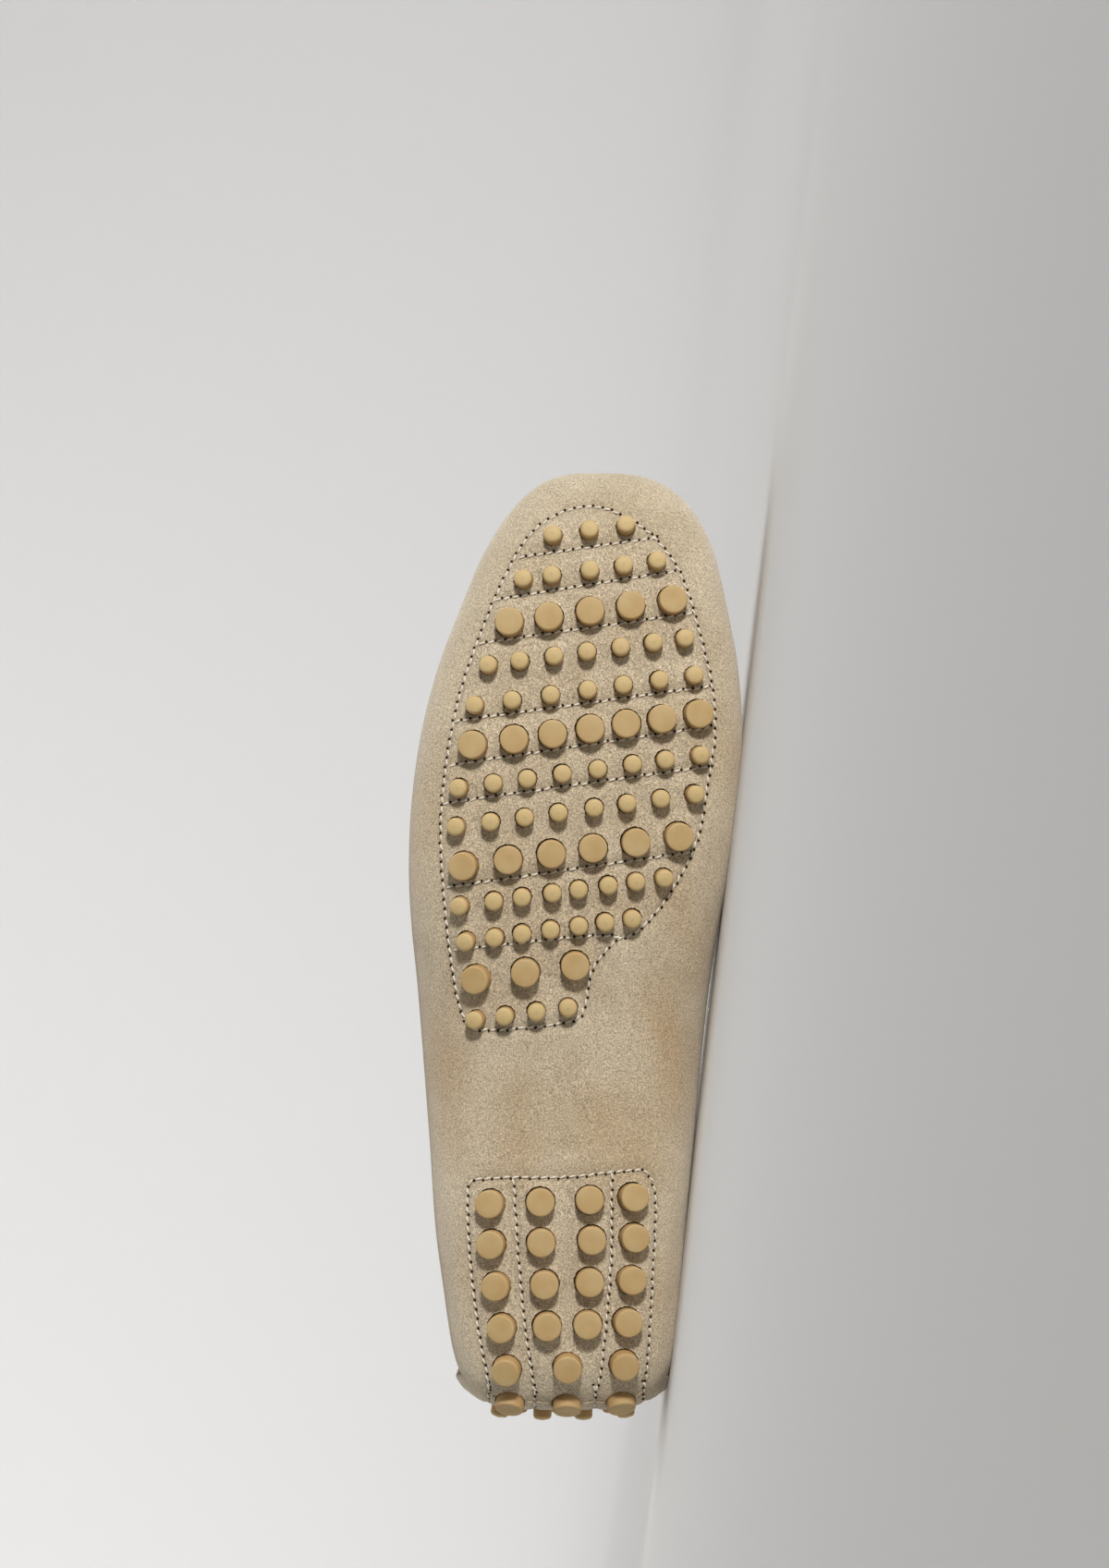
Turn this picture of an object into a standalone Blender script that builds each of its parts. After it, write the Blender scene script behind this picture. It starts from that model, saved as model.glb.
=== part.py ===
"""Driving moccasin for the right foot: a suede upper that wraps under the foot, with rubber studs through it.

The shoe is modelled standing: +X to the toe, +Y to its inner side, +Z up, with the ground at zero.
A parent empty then lays it on its inner side, where its own weight presses the soft leather flat.
"""

import math
from collections import namedtuple
from itertools import product

import bmesh
import bpy
import numpy as np
from mathutils import Matrix, Vector
from mathutils.bvhtree import BVHTree
from mathutils.interpolate import poly_3d_calc

# Sizes of the last, in metres
LENGTH = 0.284
OUTER_REACH = 0.048
INNER_REACH = 0.053
HEEL_REACH = 0.034
TOE_REACH = 0.0408
UPPER_HEIGHT = 0.060
TOE_SPRING = 0.009

# Leather, in metres
WALL = 0.0020
SEAM_RISE = 0.0019
SEAM_WIDTH = 0.0034
FLAP_THICKNESS = 0.0012
THROAT_TAB = 0.015
PRESSED = 0.0012

# Rubber and sock, in metres
STUD_HEIGHT = 0.0042
LARGE_RADIUS = 0.0045
SMALL_RADIUS = 0.0029
PLATE = 0.0016
PLATE_MARGIN = 0.0020
SOCK = 0.0030
FIT_GAP = 0.0003
HOLE_CLEARANCE = 0.00040

# Squareness of the outline's two round ends, as the powers of a superellipse, and of both ends at the top
HEEL_POWER = 4.4
TOE_POWER = 3.1
TOP_POWER = 2.3

# The outline from below, from the heel pole to the toe pole:
# along is a share of LENGTH, outer and inner are shares of the two reaches.
Width = namedtuple("Width", "along outer inner")
WIDTHS = [
    Width(0.113, 0.769, 0.680),
    Width(0.183, 0.825, 0.708),
    Width(0.271, 0.863, 0.755),
    Width(0.361, 0.904, 0.799),
    Width(0.450, 0.945, 0.850),
    Width(0.509, 0.978, 0.898),
    Width(0.567, 0.996, 0.956),
    Width(0.627, 0.987, 1.007),
    Width(0.687, 0.951, 1.034),
    Width(0.745, 0.888, 1.032),
    Width(0.805, 0.787, 1.004),
    Width(0.863, 0.655, 0.945),
]

# The profile of a rib whose brim lies at this share of LENGTH. lift is a share of TOE_SPRING; belly, edge
# and crown are heights above the underside, as shares of UPPER_HEIGHT; power is the squareness of the
# bottom's corner; gather is how much of the rib's reach is left at the top edge or seam.
Profile = namedtuple("Profile", "along lift belly power gather edge crown")
PROFILES = [
    Profile(0.000, 0.00, 0.380, 3.5, 0.860, 1.000, 1.10),
    Profile(0.050, 0.00, 0.380, 3.5, 0.830, 0.975, 1.10),
    Profile(0.113, 0.00, 0.390, 3.4, 0.800, 0.920, 1.10),
    Profile(0.210, 0.02, 0.410, 3.1, 0.800, 0.850, 1.10),
    Profile(0.310, 0.22, 0.430, 2.6, 0.770, 0.810, 1.10),
    Profile(0.420, 0.20, 0.420, 2.6, 0.700, 0.840, 1.10),
    Profile(0.530, 0.04, 0.370, 3.3, 0.620, 0.920, 1.07),
    Profile(0.630, 0.00, 0.330, 3.9, 0.605, 0.810, 0.95),
    Profile(0.740, 0.10, 0.300, 4.0, 0.620, 0.705, 0.83),
    Profile(0.863, 0.44, 0.270, 3.6, 0.610, 0.635, 0.74),
    Profile(0.940, 0.74, 0.255, 3.2, 0.530, 0.600, 0.70),
    Profile(1.000, 1.00, 0.240, 3.0, 0.470, 0.585, 0.68),
]

# Where the ribs stand: shares of LENGTH between the poles, and turns of the two fans, in degrees
STATIONS = [0.113, 0.175, 0.245, 0.315, 0.385, 0.460, 0.530, 0.600, 0.670, 0.740, 0.805, 0.863]
THROAT = STATIONS.index(0.530)
HEEL_TURNS = [12, 27, 38, 41, 52, 70, 90]
FLAP_TURN = 41
TOE_TURNS = [13, 28, 43, 58, 74, 90]

# Rows along a rib: turns round the bottom's corner, in degrees, and shares of the side and of the plug
CORNER_TURNS = [22, 40, 55, 66, 74, 90]
SIDE_SHARES = [0.3, 0.6, 0.64, 1.0]
FLAP_SHARE = 0.6
PLUG_SHARES = [0.68, 0.36]

# A row of studs across the sole. gaps are the spaces between its studs, from the outer side, in proportion
# to each other; at is where the row crosses the shoe's axis, as a share of LENGTH; outer and inner are its
# end studs, as shares of the two reaches, outer negative.
StudRow = namedtuple("StudRow", "size gaps at outer inner")
FOREFOOT_SLANT = 0.137
FOREFOOT_ROWS = [
    StudRow("small", (1.00, 1.00), 0.936, -0.067, 0.355),
    StudRow("small", (0.85, 1.14, 1.02, 0.99), 0.893, -0.254, 0.532),
    StudRow("large", (0.96, 1.02, 1.00, 1.02), 0.849, -0.342, 0.621),
    StudRow("small", (0.95, 1.05, 1.01, 1.04, 1.00, 0.94), 0.806, -0.475, 0.689),
    StudRow("small", (1.01, 1.06, 1.02, 0.98, 0.99, 0.94), 0.765, -0.560, 0.743),
    StudRow("large", (1.10, 1.03, 1.01, 0.96, 0.96, 0.96), 0.723, -0.575, 0.768),
    StudRow("small", (1.00, 0.98, 1.03, 1.03, 1.02, 0.95, 0.99), 0.679, -0.662, 0.775),
    StudRow("small", (0.99, 1.00, 0.99, 1.05, 0.97, 0.98, 0.99), 0.638, -0.677, 0.747),
    StudRow("large", (1.03, 1.01, 0.97, 1.00, 0.99), 0.595, -0.633, 0.655),
    StudRow("small", (1.16, 0.96, 1.05, 0.90, 1.03, 0.95, 0.95), 0.553, -0.654, 0.570),
    StudRow("small", (1.02, 0.99, 1.03, 1.03, 0.96, 0.97), 0.514, -0.614, 0.389),
    StudRow("large", (0.99, 1.01), 0.472, -0.552, 0.064),
    StudRow("small", (0.94, 1.03, 1.03), 0.428, -0.552, 0.023),
]
HEEL_SLANT = 0.045
HEEL_ROWS = [
    StudRow("large", (1.05, 1.04, 0.91), 0.221, -0.463, 0.394),
    StudRow("large", (1.05, 1.07, 0.88), 0.178, -0.458, 0.398),
    StudRow("large", (1.07, 1.01, 0.92), 0.133, -0.427, 0.383),
    StudRow("large", (1.08, 0.97, 0.95), 0.088, -0.391, 0.362),
    StudRow("large", (1.04, 0.96), 0.043, -0.362, 0.343),
]
# Rows on the heel's back. A stud lies where a line from the heel pole, at height (a share of UPPER_HEIGHT
# above the underside) and turned this far from straight down, leaves the leather. Its cover is how far the
# flap moves it out, in thicknesses of the flap: where the flap folds up, the studs sink into it.
BackRow = namedtuple("BackRow", "size gaps turn height outer inner cover")
BACK_ROWS = [
    BackRow("large", (1.03, 0.97), 66, 0.38, -0.342, 0.326, -0.8),
    BackRow("small", (1.00, 1.00, 1.00), 90, 0.34, -0.400, 0.350, 1.0),
    BackRow("large", (1.00, 1.00), 90, 0.54, -0.320, 0.300, 1.0),
]

# The stitched outline of the forefoot plate, toe first and round by the inner side: share of LENGTH, and
# share of the reach on that side
FOREFOOT_OUTLINE = [
    (0.968, 0.170), (0.950, 0.411), (0.920, 0.587), (0.881, 0.702), (0.825, 0.789), (0.773, 0.853),
    (0.720, 0.866), (0.667, 0.826), (0.614, 0.775), (0.579, 0.698), (0.538, 0.560), (0.511, 0.425),
    (0.499, 0.291), (0.472, 0.170), (0.450, 0.138), (0.427, 0.115), (0.415, 0.060), (0.407, -0.217),
    (0.404, -0.512), (0.407, -0.587), (0.415, -0.633), (0.449, -0.692), (0.514, -0.744), (0.604, -0.783),
    (0.669, -0.765), (0.750, -0.683), (0.811, -0.571), (0.876, -0.421), (0.929, -0.252), (0.957, -0.067),
]
# The heel plate's outline: it runs on past the back of the heel and up it, to HEEL_PLATE_TOP
HEEL_OUTLINE = [
    (-0.040, 0.350), (0.010, 0.455), (0.050, 0.485), (0.126, 0.513), (0.214, 0.532), (0.236, 0.519),
    (0.248, 0.485), (0.254, 0.425), (0.249, 0.142), (0.246, -0.067), (0.246, -0.365), (0.244, -0.542),
    (0.240, -0.596), (0.226, -0.617), (0.161, -0.602), (0.083, -0.535), (0.032, -0.490), (0.010, -0.460),
    (-0.040, -0.390),
]
HEEL_PLATE_TOP = 0.67

STUD_SIDES = {"large": 8, "small": 6}
STUD_RADII = {"large": LARGE_RADIUS, "small": SMALL_RADIUS}

# Short steps along the foot, as shares of LENGTH, over which a slope is taken
OUTLINE_STEP = 0.004
CROWN_STEP = 0.02
# How flat the arch of the plug is across the foot, as the power of its fall from the crown
ARCH_POWER = 1.7

# Rows of the rib grid by name, counted from the spine
BRIM_ROW = len(CORNER_TURNS)
EDGE_ROW = BRIM_ROW + len(SIDE_SHARES)
CREST_ROW = EDGE_ROW + 1
SOCK_ROWS = [0, 2, 4]
FOREFOOT_ROWS_USED = [0, 1, 2, 3, 4]
HEEL_ROWS_USED = [0, 1, 2, 3, 4, 5, BRIM_ROW, BRIM_ROW + 1, BRIM_ROW + 2, EDGE_ROW]

Rib = namedtuple("Rib", "station pole brim top turn")


def smooth(table, column, along):
    """A column of a table at a share of LENGTH, on a smooth curve through its rows."""
    xs = [row.along for row in table]
    ys = [getattr(row, column) for row in table]
    along = min(max(along, xs[0]), xs[-1])
    i = min(max(np.searchsorted(xs, along) - 1, 0), len(xs) - 2)

    def slope(j):
        low, high = max(j - 1, 0), min(j + 1, len(xs) - 1)
        return (ys[high] - ys[low]) / (xs[high] - xs[low])

    span = xs[i + 1] - xs[i]
    t = (along - xs[i]) / span
    return (ys[i] * (2 * t**3 - 3 * t**2 + 1) + slope(i) * span * (t**3 - 2 * t**2 + t)
            + ys[i + 1] * (3 * t**2 - 2 * t**3) + slope(i + 1) * span * (t**3 - t**2))


def brim_y(along, side):
    """Where the outline lies across the shoe, on the inner side (+1) or the outer side (-1)."""
    if side > 0:
        return INNER_REACH * smooth(WIDTHS, "inner", along)
    return -OUTER_REACH * smooth(WIDTHS, "outer", along)


def axis_y(along):
    """The middle of the outline, where the ribs begin."""
    return (brim_y(along, 1) + brim_y(along, -1)) / 2


def fan_rib(station, side, turn, reach, power, away):
    """A rib of the heel's or the toe's fan.

    The outline goes on at its own slant and closes as a superellipse.
    """
    along = STATIONS[station]
    pole = Vector((along * LENGTH, axis_y(along)))
    slant = (brim_y(along, side) - brim_y(along - away * OUTLINE_STEP, side)) / OUTLINE_STEP
    ends = []
    for squareness in (power, TOP_POWER):
        out = math.sin(math.radians(turn)) ** (2 / squareness)
        close = max(math.cos(math.radians(turn)), 0.0) ** (2 / squareness)
        half = brim_y(along, side) - pole.y + slant * out * reach / LENGTH
        ends.append(Vector((pole.x + away * reach * out, pole.y + half * close)))
    return Rib(station, pole, *ends, turn)


def side_ribs(side):
    """The ribs of one side, from the back of the heel to the toe, without the two on the axis."""
    ribs = [fan_rib(0, side, t, HEEL_REACH, HEEL_POWER, -1) for t in reversed(HEEL_TURNS[:-1])]
    for i, along in enumerate(STATIONS):
        pole = Vector((along * LENGTH, axis_y(along)))
        brim = Vector((pole.x, brim_y(along, side)))
        ribs.append(Rib(i, pole, brim, brim, 0))
    last = len(STATIONS) - 1
    ribs += [fan_rib(last, side, t, TOE_REACH, TOE_POWER, 1) for t in TOE_TURNS[:-1]]
    return ribs


def all_ribs():
    """Every rib, from the back of the heel round the inner side, the toe and the outer side."""
    last = len(STATIONS) - 1
    back = fan_rib(0, 1, 90, HEEL_REACH, HEEL_POWER, -1)
    tip = fan_rib(last, 1, 90, TOE_REACH, TOE_POWER, 1)
    return [back, *side_ribs(1), tip, *reversed(side_ribs(-1))]


def underside(x):
    """Height of the leather's underside on the axis, above the ground."""
    return STUD_HEIGHT + TOE_SPRING * smooth(PROFILES, "lift", x / LENGTH)


def rib_point(rib, row):
    """A point of the smooth outer skin: on the wrap up to EDGE_ROW, and on the plug after it."""
    along = rib.brim.x / LENGTH
    power = smooth(PROFILES, "power", along)
    belly = UPPER_HEIGHT * smooth(PROFILES, "belly", along)
    gather = smooth(PROFILES, "gather", along)
    edge = STUD_HEIGHT + UPPER_HEIGHT * smooth(PROFILES, "edge", along)
    if row <= BRIM_ROW:
        turn = math.radians(CORNER_TURNS[row - 1]) if row else 0.0
        plan = rib.pole.lerp(rib.brim, math.sin(turn) ** (2 / power))
        rise = 1 - max(math.cos(turn), 0.0) ** (2 / power)
        return Vector((*plan, underside(plan.x) + belly * rise))
    if row <= EDGE_ROW:
        share = SIDE_SHARES[row - BRIM_ROW - 1]
        plan = rib.brim.lerp(rib.pole.lerp(rib.top, gather), share**2)
        low = underside(rib.brim.x) + belly
        return Vector((*plan, low + (edge - low) * share))
    # On the plug the height falls from the crown as a flat arch, and the throat's tab reaches back.
    reach = gather * (rib.top - rib.pole).length
    shares = [1 - SEAM_WIDTH / 2 / reach, 1 - SEAM_WIDTH / reach, *PLUG_SHARES, 0.0]
    share = shares[row - EDGE_ROW - 1]
    plan = rib.pole.lerp(rib.top, gather * share)
    crown_here = STUD_HEIGHT + UPPER_HEIGHT * smooth(PROFILES, "crown", STATIONS[rib.station])
    tab = max(0.0, 1 - (rib.station - THROAT) / 3) * THROAT_TAB * (1 - share**2)
    lift = tab * crown_slope(rib.station)
    height = edge + (crown_here - edge) * (1 - share**ARCH_POWER) + lift
    return Vector((plan.x - tab, plan.y, height))


def crown_slope(station):
    """How steeply the plug climbs towards the foot, as a rise for each unit of length."""
    along = STATIONS[station]
    fall = smooth(PROFILES, "crown", along) - smooth(PROFILES, "crown", along + CROWN_STEP)
    return fall * UPPER_HEIGHT / (CROWN_STEP * LENGTH)


def floor_line(ribs):
    """The floor's edge seen from above the standing shoe: a point of it, and the direction out of the shoe.

    The line touches the inner side's outline at the heel and at the ball, less what is pressed flat.
    """
    inner = [rib.brim for rib in ribs if rib.brim.y > rib.pole.y]
    middle = LENGTH / 2
    pairs = product([p for p in inner if p.x < middle], [p for p in inner if p.x > middle])
    heel, ball = max(pairs, key=lambda pair: height_at(middle, *pair))
    along = (ball - heel).normalized()
    outward = Vector((-along.y, along.x))
    return heel - outward * PRESSED, outward


def height_at(x, start, end):
    """Where the line through two points lies across the shoe, at x along it."""
    return start.y + (end.y - start.y) * (x - start.x) / (end.x - start.x)


def pressed(point, line):
    """The point, pushed back into the floor's plane if it would lie past it."""
    start, outward = line
    excess = max(0.0, (point.xy - start).dot(outward))
    return point - Vector((*outward, 0)) * excess


def rows_of(rib):
    """The rib's last row: the crown in front of the throat, and the top edge behind it."""
    return EDGE_ROW + 3 + len(PLUG_SHARES) if rib.station >= THROAT else EDGE_ROW


def rib_grid():
    """Ribs, keys, points and triangles of the smooth outer skin. Ribs share their spine and crown points."""
    ribs = all_ribs()
    line = floor_line(ribs)
    index, points = {}, []

    def key(i, row):
        rib = ribs[i]
        if row == 0:
            return ("spine", rib.station)
        if row == EDGE_ROW + 3 + len(PLUG_SHARES):
            return ("crown", rib.station)
        return (i, row)

    for i, rib in enumerate(ribs):
        for row in range(rows_of(rib) + 1):
            if key(i, row) not in index:
                index[key(i, row)] = len(points)
                points.append(pressed(rib_point(rib, row), line))
    triangles = []
    for i, rib in enumerate(ribs):
        j = (i + 1) % len(ribs)
        for row in range(min(rows_of(rib), rows_of(ribs[j]))):
            a, b = index[key(i, row)], index[key(j, row)]
            c, d = index[key(j, row + 1)], index[key(i, row + 1)]
            triangles += [t for t in ((a, c, b), (a, d, c)) if len(set(t)) == 3]
    return ribs, index, points, triangles


def mesh_of(name, points, faces):
    """A mesh of these points and faces."""
    mesh = bpy.data.meshes.new(name)
    mesh.from_pydata([tuple(p) for p in points], [], [tuple(f) for f in faces])
    mesh.validate()
    mesh.update()
    return mesh


def normals_of(points, triangles):
    """Outward normals of an open skin, each the mean over the triangles round its point."""
    sums = np.zeros((len(points), 3))
    co = np.array([tuple(p) for p in points])
    for a, b, c in triangles:
        normal = np.cross(co[b] - co[a], co[c] - co[a])
        for k in (a, b, c):
            sums[k] += normal
    return sums / np.linalg.norm(sums, axis=1, keepdims=True)


def shifted(points, normals, depth):
    """The points moved inwards by depth."""
    return [Vector(p) - Vector(n) * depth for p, n in zip(points, normals)]


def shell(name, outer, inner, triangles):
    """A closed solid between two skins of the same triangles, with their open edges joined."""
    count = len(outer)
    faces = list(triangles) + [(c + count, b + count, a + count) for a, b, c in triangles]
    ends = {}
    for a, b, c in triangles:
        for edge in ((a, b), (b, c), (c, a)):
            ends[edge] = True
    for a, b in ends:
        if (b, a) not in ends:
            faces.append((a, a + count, b + count, b))
    mesh = mesh_of(name, list(outer) + list(inner), faces)
    loose = bmesh.new()
    loose.from_mesh(mesh)
    bmesh.ops.delete(loose, geom=[v for v in loose.verts if not v.link_faces], context="VERTS")
    loose.to_mesh(mesh)
    loose.free()
    return mesh


def raised(ribs, index, points, normals):
    """The outer skin with its seam ridge and the flap that folds up over the heel's back."""
    raised_points = [Vector(p) for p in points]
    flap_rows = range(BRIM_ROW - 2, BRIM_ROW + SIDE_SHARES.index(FLAP_SHARE) + 2)
    ramp_rows = 3
    for i, rib in enumerate(ribs):
        if rib.station >= THROAT:
            k = index[(i, CREST_ROW)]
            fade = 0.3 if rib.station == THROAT else 1.0
            raised_points[k] += Vector(normals[k]) * SEAM_RISE * fade
        if rib.station == 0 and rib.turn >= FLAP_TURN:
            for step, row in enumerate(flap_rows):
                k = index[(i, row)]
                share = min(1.0, (step + 1) / ramp_rows)
                raised_points[k] += Vector(normals[k]) * FLAP_THICKNESS * share
    return raised_points


class Skin:
    """The upper's outer skin, which tells where a line meets it and which way it faces there."""

    def __init__(self, points, normals, triangles):
        self.points, self.normals, self.triangles = points, normals, triangles
        self.tree = BVHTree.FromPolygons(points, triangles)

    def meet(self, start, direction):
        place, _, face, _ = self.tree.ray_cast(start, direction)
        corners = self.triangles[face]
        weights = poly_3d_calc([self.points[k] for k in corners], place)
        normal = sum((Vector(self.normals[k]) * w for k, w in zip(corners, weights)), Vector())
        return place, normal.normalized()


def reach_share(share):
    """A share of the reach on the share's own side, as a distance across the shoe."""
    return share * (INNER_REACH if share > 0 else OUTER_REACH)


def across(row):
    """The studs' places across the shoe, with the row's own gaps between them."""
    first, last = reach_share(row.outer), reach_share(row.inner)
    runs = np.cumsum([0.0, *row.gaps]) / sum(row.gaps)
    return [first + (last - first) * float(run) for run in runs]


def sole_studs(skin, rows, slant):
    """(size, place, normal, cover) of each stud of the sole's rows, which slant forward to the inner side."""
    studs = []
    for row in rows:
        for y in across(row):
            start = Vector((row.at * LENGTH + slant * y, y, -UPPER_HEIGHT))
            studs.append((row.size, *skin.meet(start, Vector((0, 0, 1))), 0.0))
    return studs


def back_studs(skin):
    """(size, place, normal, cover) of each stud round the heel's back, where the flap covers the wall."""
    studs = []
    for row in BACK_ROWS:
        turn = math.radians(row.turn)
        direction = Vector((-math.sin(turn), 0, -math.cos(turn)))
        for y in across(row):
            start = Vector((HEEL_REACH, y, STUD_HEIGHT + row.height * UPPER_HEIGHT))
            studs.append((row.size, *skin.meet(start, direction), FLAP_THICKNESS * row.cover))
    return studs


def prisms(name, studs, low, high, grow):
    """One mesh with a prism for each stud, from low to high along its normal.

    A hole's flats stand off from its stud by grow.
    """
    bm = bmesh.new()
    for size, place, normal, cover in studs:
        sides = STUD_SIDES[size]
        radius = (STUD_RADII[size] + grow) / (math.cos(math.pi / sides) if grow else 1)
        turn = normal.to_track_quat("Z", "X").to_matrix().to_4x4()
        length = high + cover - low
        middle = Matrix.Translation(place + normal * (low + length / 2))
        bmesh.ops.create_cone(bm, cap_ends=True, segments=sides, radius1=radius, radius2=radius,
                              depth=length, matrix=middle @ turn)
    mesh = bpy.data.meshes.new(name)
    bm.to_mesh(mesh)
    bm.free()
    return mesh


def outline_prism(name, outline, low, high):
    """A prism from low to high over an outline that is grown by PLATE_MARGIN."""
    corners = [Vector((x * LENGTH, reach_share(y))) for x, y in outline]
    count = len(corners)
    grown = []
    for i, point in enumerate(corners):
        tangent = (corners[(i + 1) % count] - corners[i - 1]).normalized()
        grown.append(point + Vector((tangent.y, -tangent.x)) * PLATE_MARGIN * winding(corners))
    bm = bmesh.new()
    base = bm.faces.new([bm.verts.new((*p, low)) for p in grown])
    top = bmesh.ops.extrude_face_region(bm, geom=[base])
    lid = [g for g in top["geom"] if isinstance(g, bmesh.types.BMVert)]
    bmesh.ops.translate(bm, vec=(0, 0, high - low), verts=lid)
    bmesh.ops.recalc_face_normals(bm, faces=bm.faces)
    mesh = bpy.data.meshes.new(name)
    bm.to_mesh(mesh)
    bm.free()
    return mesh


def winding(corners):
    """+1 for an outline that runs anticlockwise from above, and -1 for a clockwise one."""
    area = sum(corners[i - 1].cross(corners[i]) for i in range(len(corners)))
    return 1 if area > 0 else -1


def patch(ribs, index, rows):
    """The triangles between these rows of the wrap, right round the shoe. Row 0 is the spine."""
    triangles = []
    for i, rib in enumerate(ribs):
        j = (i + 1) % len(ribs)
        for low, high in zip(rows, rows[1:]):
            a, d = index.get((i, low), index[("spine", rib.station)]), index[(i, high)]
            b, c = index.get((j, low), index[("spine", ribs[j].station)]), index[(j, high)]
            triangles += [t for t in ((a, c, b), (a, d, c)) if len(set(t)) == 3]
    return triangles


def material(name, colour, roughness):
    """A plain principled material."""
    made = bpy.data.materials.new(name)
    made.use_nodes = True
    shader = made.node_tree.nodes["Principled BSDF"]
    shader.inputs["Base Color"].default_value = (*colour, 1)
    shader.inputs["Roughness"].default_value = roughness
    return made


def add(name, mesh, finish=None, helper=False):
    """An object in the scene. A helper is a cutter or guide, which isn't part of the shoe."""
    obj = bpy.data.objects.new(name, mesh)
    bpy.context.scene.collection.objects.link(obj)
    if finish:
        mesh.materials.append(finish)
    if helper:
        obj.hide_render = True
        obj.display_type = "WIRE"
    return obj


def boolean(obj, other, operation):
    """A Boolean that stays on the object."""
    modifier = obj.modifiers.new(operation.lower(), "BOOLEAN")
    modifier.operation = operation
    modifier.object = other
    modifier.solver = "EXACT"
    modifier.use_self = True


def tread(name, slab, prism, studs, finish):
    """A rubber plate inside the upper, cut from a slab by its outline, with the studs standing on it."""
    obj = add(name, slab, finish)
    boolean(obj, prism, "INTERSECT")
    posts = add(name + "_studs", studs, helper=True)
    boolean(obj, posts, "UNION")
    return obj, posts


def lying_pose(objects, outward):
    """The matrix that lays the shoe on its inner side, its length along X.

    The box of all the pieces then stands on the origin.
    """
    graph = bpy.context.evaluated_depsgraph_get()
    points = [v.co.copy() for o in objects for v in o.evaluated_get(graph).data.vertices]
    up = -Vector((*outward, 0))
    forward = (Vector((1, 0, 0)) - up * up.x).normalized()
    turn = Matrix((forward, up.cross(forward), up))
    turned = np.array([turn @ p for p in points])
    low, high = turned.min(axis=0), turned.max(axis=0)
    base = Vector(((low[0] + high[0]) / 2, (low[1] + high[1]) / 2, low[2]))
    return Matrix.Translation(-base) @ turn.to_4x4()


def build():
    """The whole shoe."""
    for obj in list(bpy.data.objects):
        bpy.data.objects.remove(obj)
    suede = material("sand suede", (0.46, 0.37, 0.25), 0.95)
    rubber = material("gum rubber", (0.52, 0.38, 0.18), 0.55)
    leather = material("sock leather", (0.50, 0.36, 0.22), 0.6)

    ribs, index, points, triangles = rib_grid()
    normals = normals_of(points, triangles)
    outer = raised(ribs, index, points, normals)
    upper = add("upper", shell("upper", outer, shifted(points, normals, WALL), triangles), suede)
    skin = Skin(points, normals, triangles)

    plate_low = WALL + FIT_GAP
    plate_high = plate_low + PLATE
    forefoot = sole_studs(skin, FOREFOOT_ROWS, FOREFOOT_SLANT)
    heel = sole_studs(skin, HEEL_ROWS, HEEL_SLANT) + back_studs(skin)
    treads, helpers = [], []
    plans = [
        ("forefoot_tread", FOREFOOT_OUTLINE, forefoot, FOREFOOT_ROWS_USED),
        ("heel_tread", HEEL_OUTLINE, heel, HEEL_ROWS_USED),
    ]
    top = STUD_HEIGHT + UPPER_HEIGHT * HEEL_PLATE_TOP
    for name, outline, studs, rows in plans:
        bag = patch(ribs, index, rows)
        slab = shell(name, shifted(points, normals, plate_low), shifted(points, normals, plate_high), bag)
        prism = add(name + "_outline", outline_prism(name, outline, -UPPER_HEIGHT, top), helper=True)
        posts = prisms(name + "_studs", studs, -plate_low - PLATE / 2, STUD_HEIGHT, 0)
        made, posts = tread(name, slab, prism, posts, rubber)
        treads.append(made)
        helpers += [prism, posts]
    punches = prisms("stud_holes", forefoot + heel, -WALL - PLATE, STUD_HEIGHT / 2, HOLE_CLEARANCE)
    holes = add("stud_holes", punches, helper=True)
    boolean(upper, holes, "DIFFERENCE")

    sock_low = plate_high + FIT_GAP
    under = shifted(points, normals, sock_low)
    over = [p + Vector((0, 0, SOCK)) for p in under]
    insole = add("insole", shell("insole", under, over, patch(ribs, index, SOCK_ROWS)), leather)

    shoe = bpy.data.objects.new("lying_shoe", None)
    bpy.context.scene.collection.objects.link(shoe)
    pieces = [upper, *treads, insole]
    bpy.context.view_layer.update()
    _, outward = floor_line(ribs)
    pose = lying_pose(pieces, outward)
    shoe.matrix_world = pose
    for obj in [*pieces, *helpers, holes]:
        obj.parent = shoe
        obj.data.shade_smooth()
        obj.data.set_sharp_from_angle(angle=math.radians(35))
    return pose, forefoot, heel


build()
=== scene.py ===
# %% [markdown]
# # A suede driving moccasin, seen from its sole
#
# This lesson dresses a plain solid model of a right-foot driving moccasin. The real shoe is one piece of
# suede pulled round a wooden last from below, closed over the toes by a raised hand-sewn seam, with rubber
# studs pushed out through punched holes in its sole. Every length is in metres.

import math
from contextlib import contextmanager

import bpy
import numpy as np
from mathutils import Matrix, Vector
from mathutils.bvhtree import BVHTree


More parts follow.
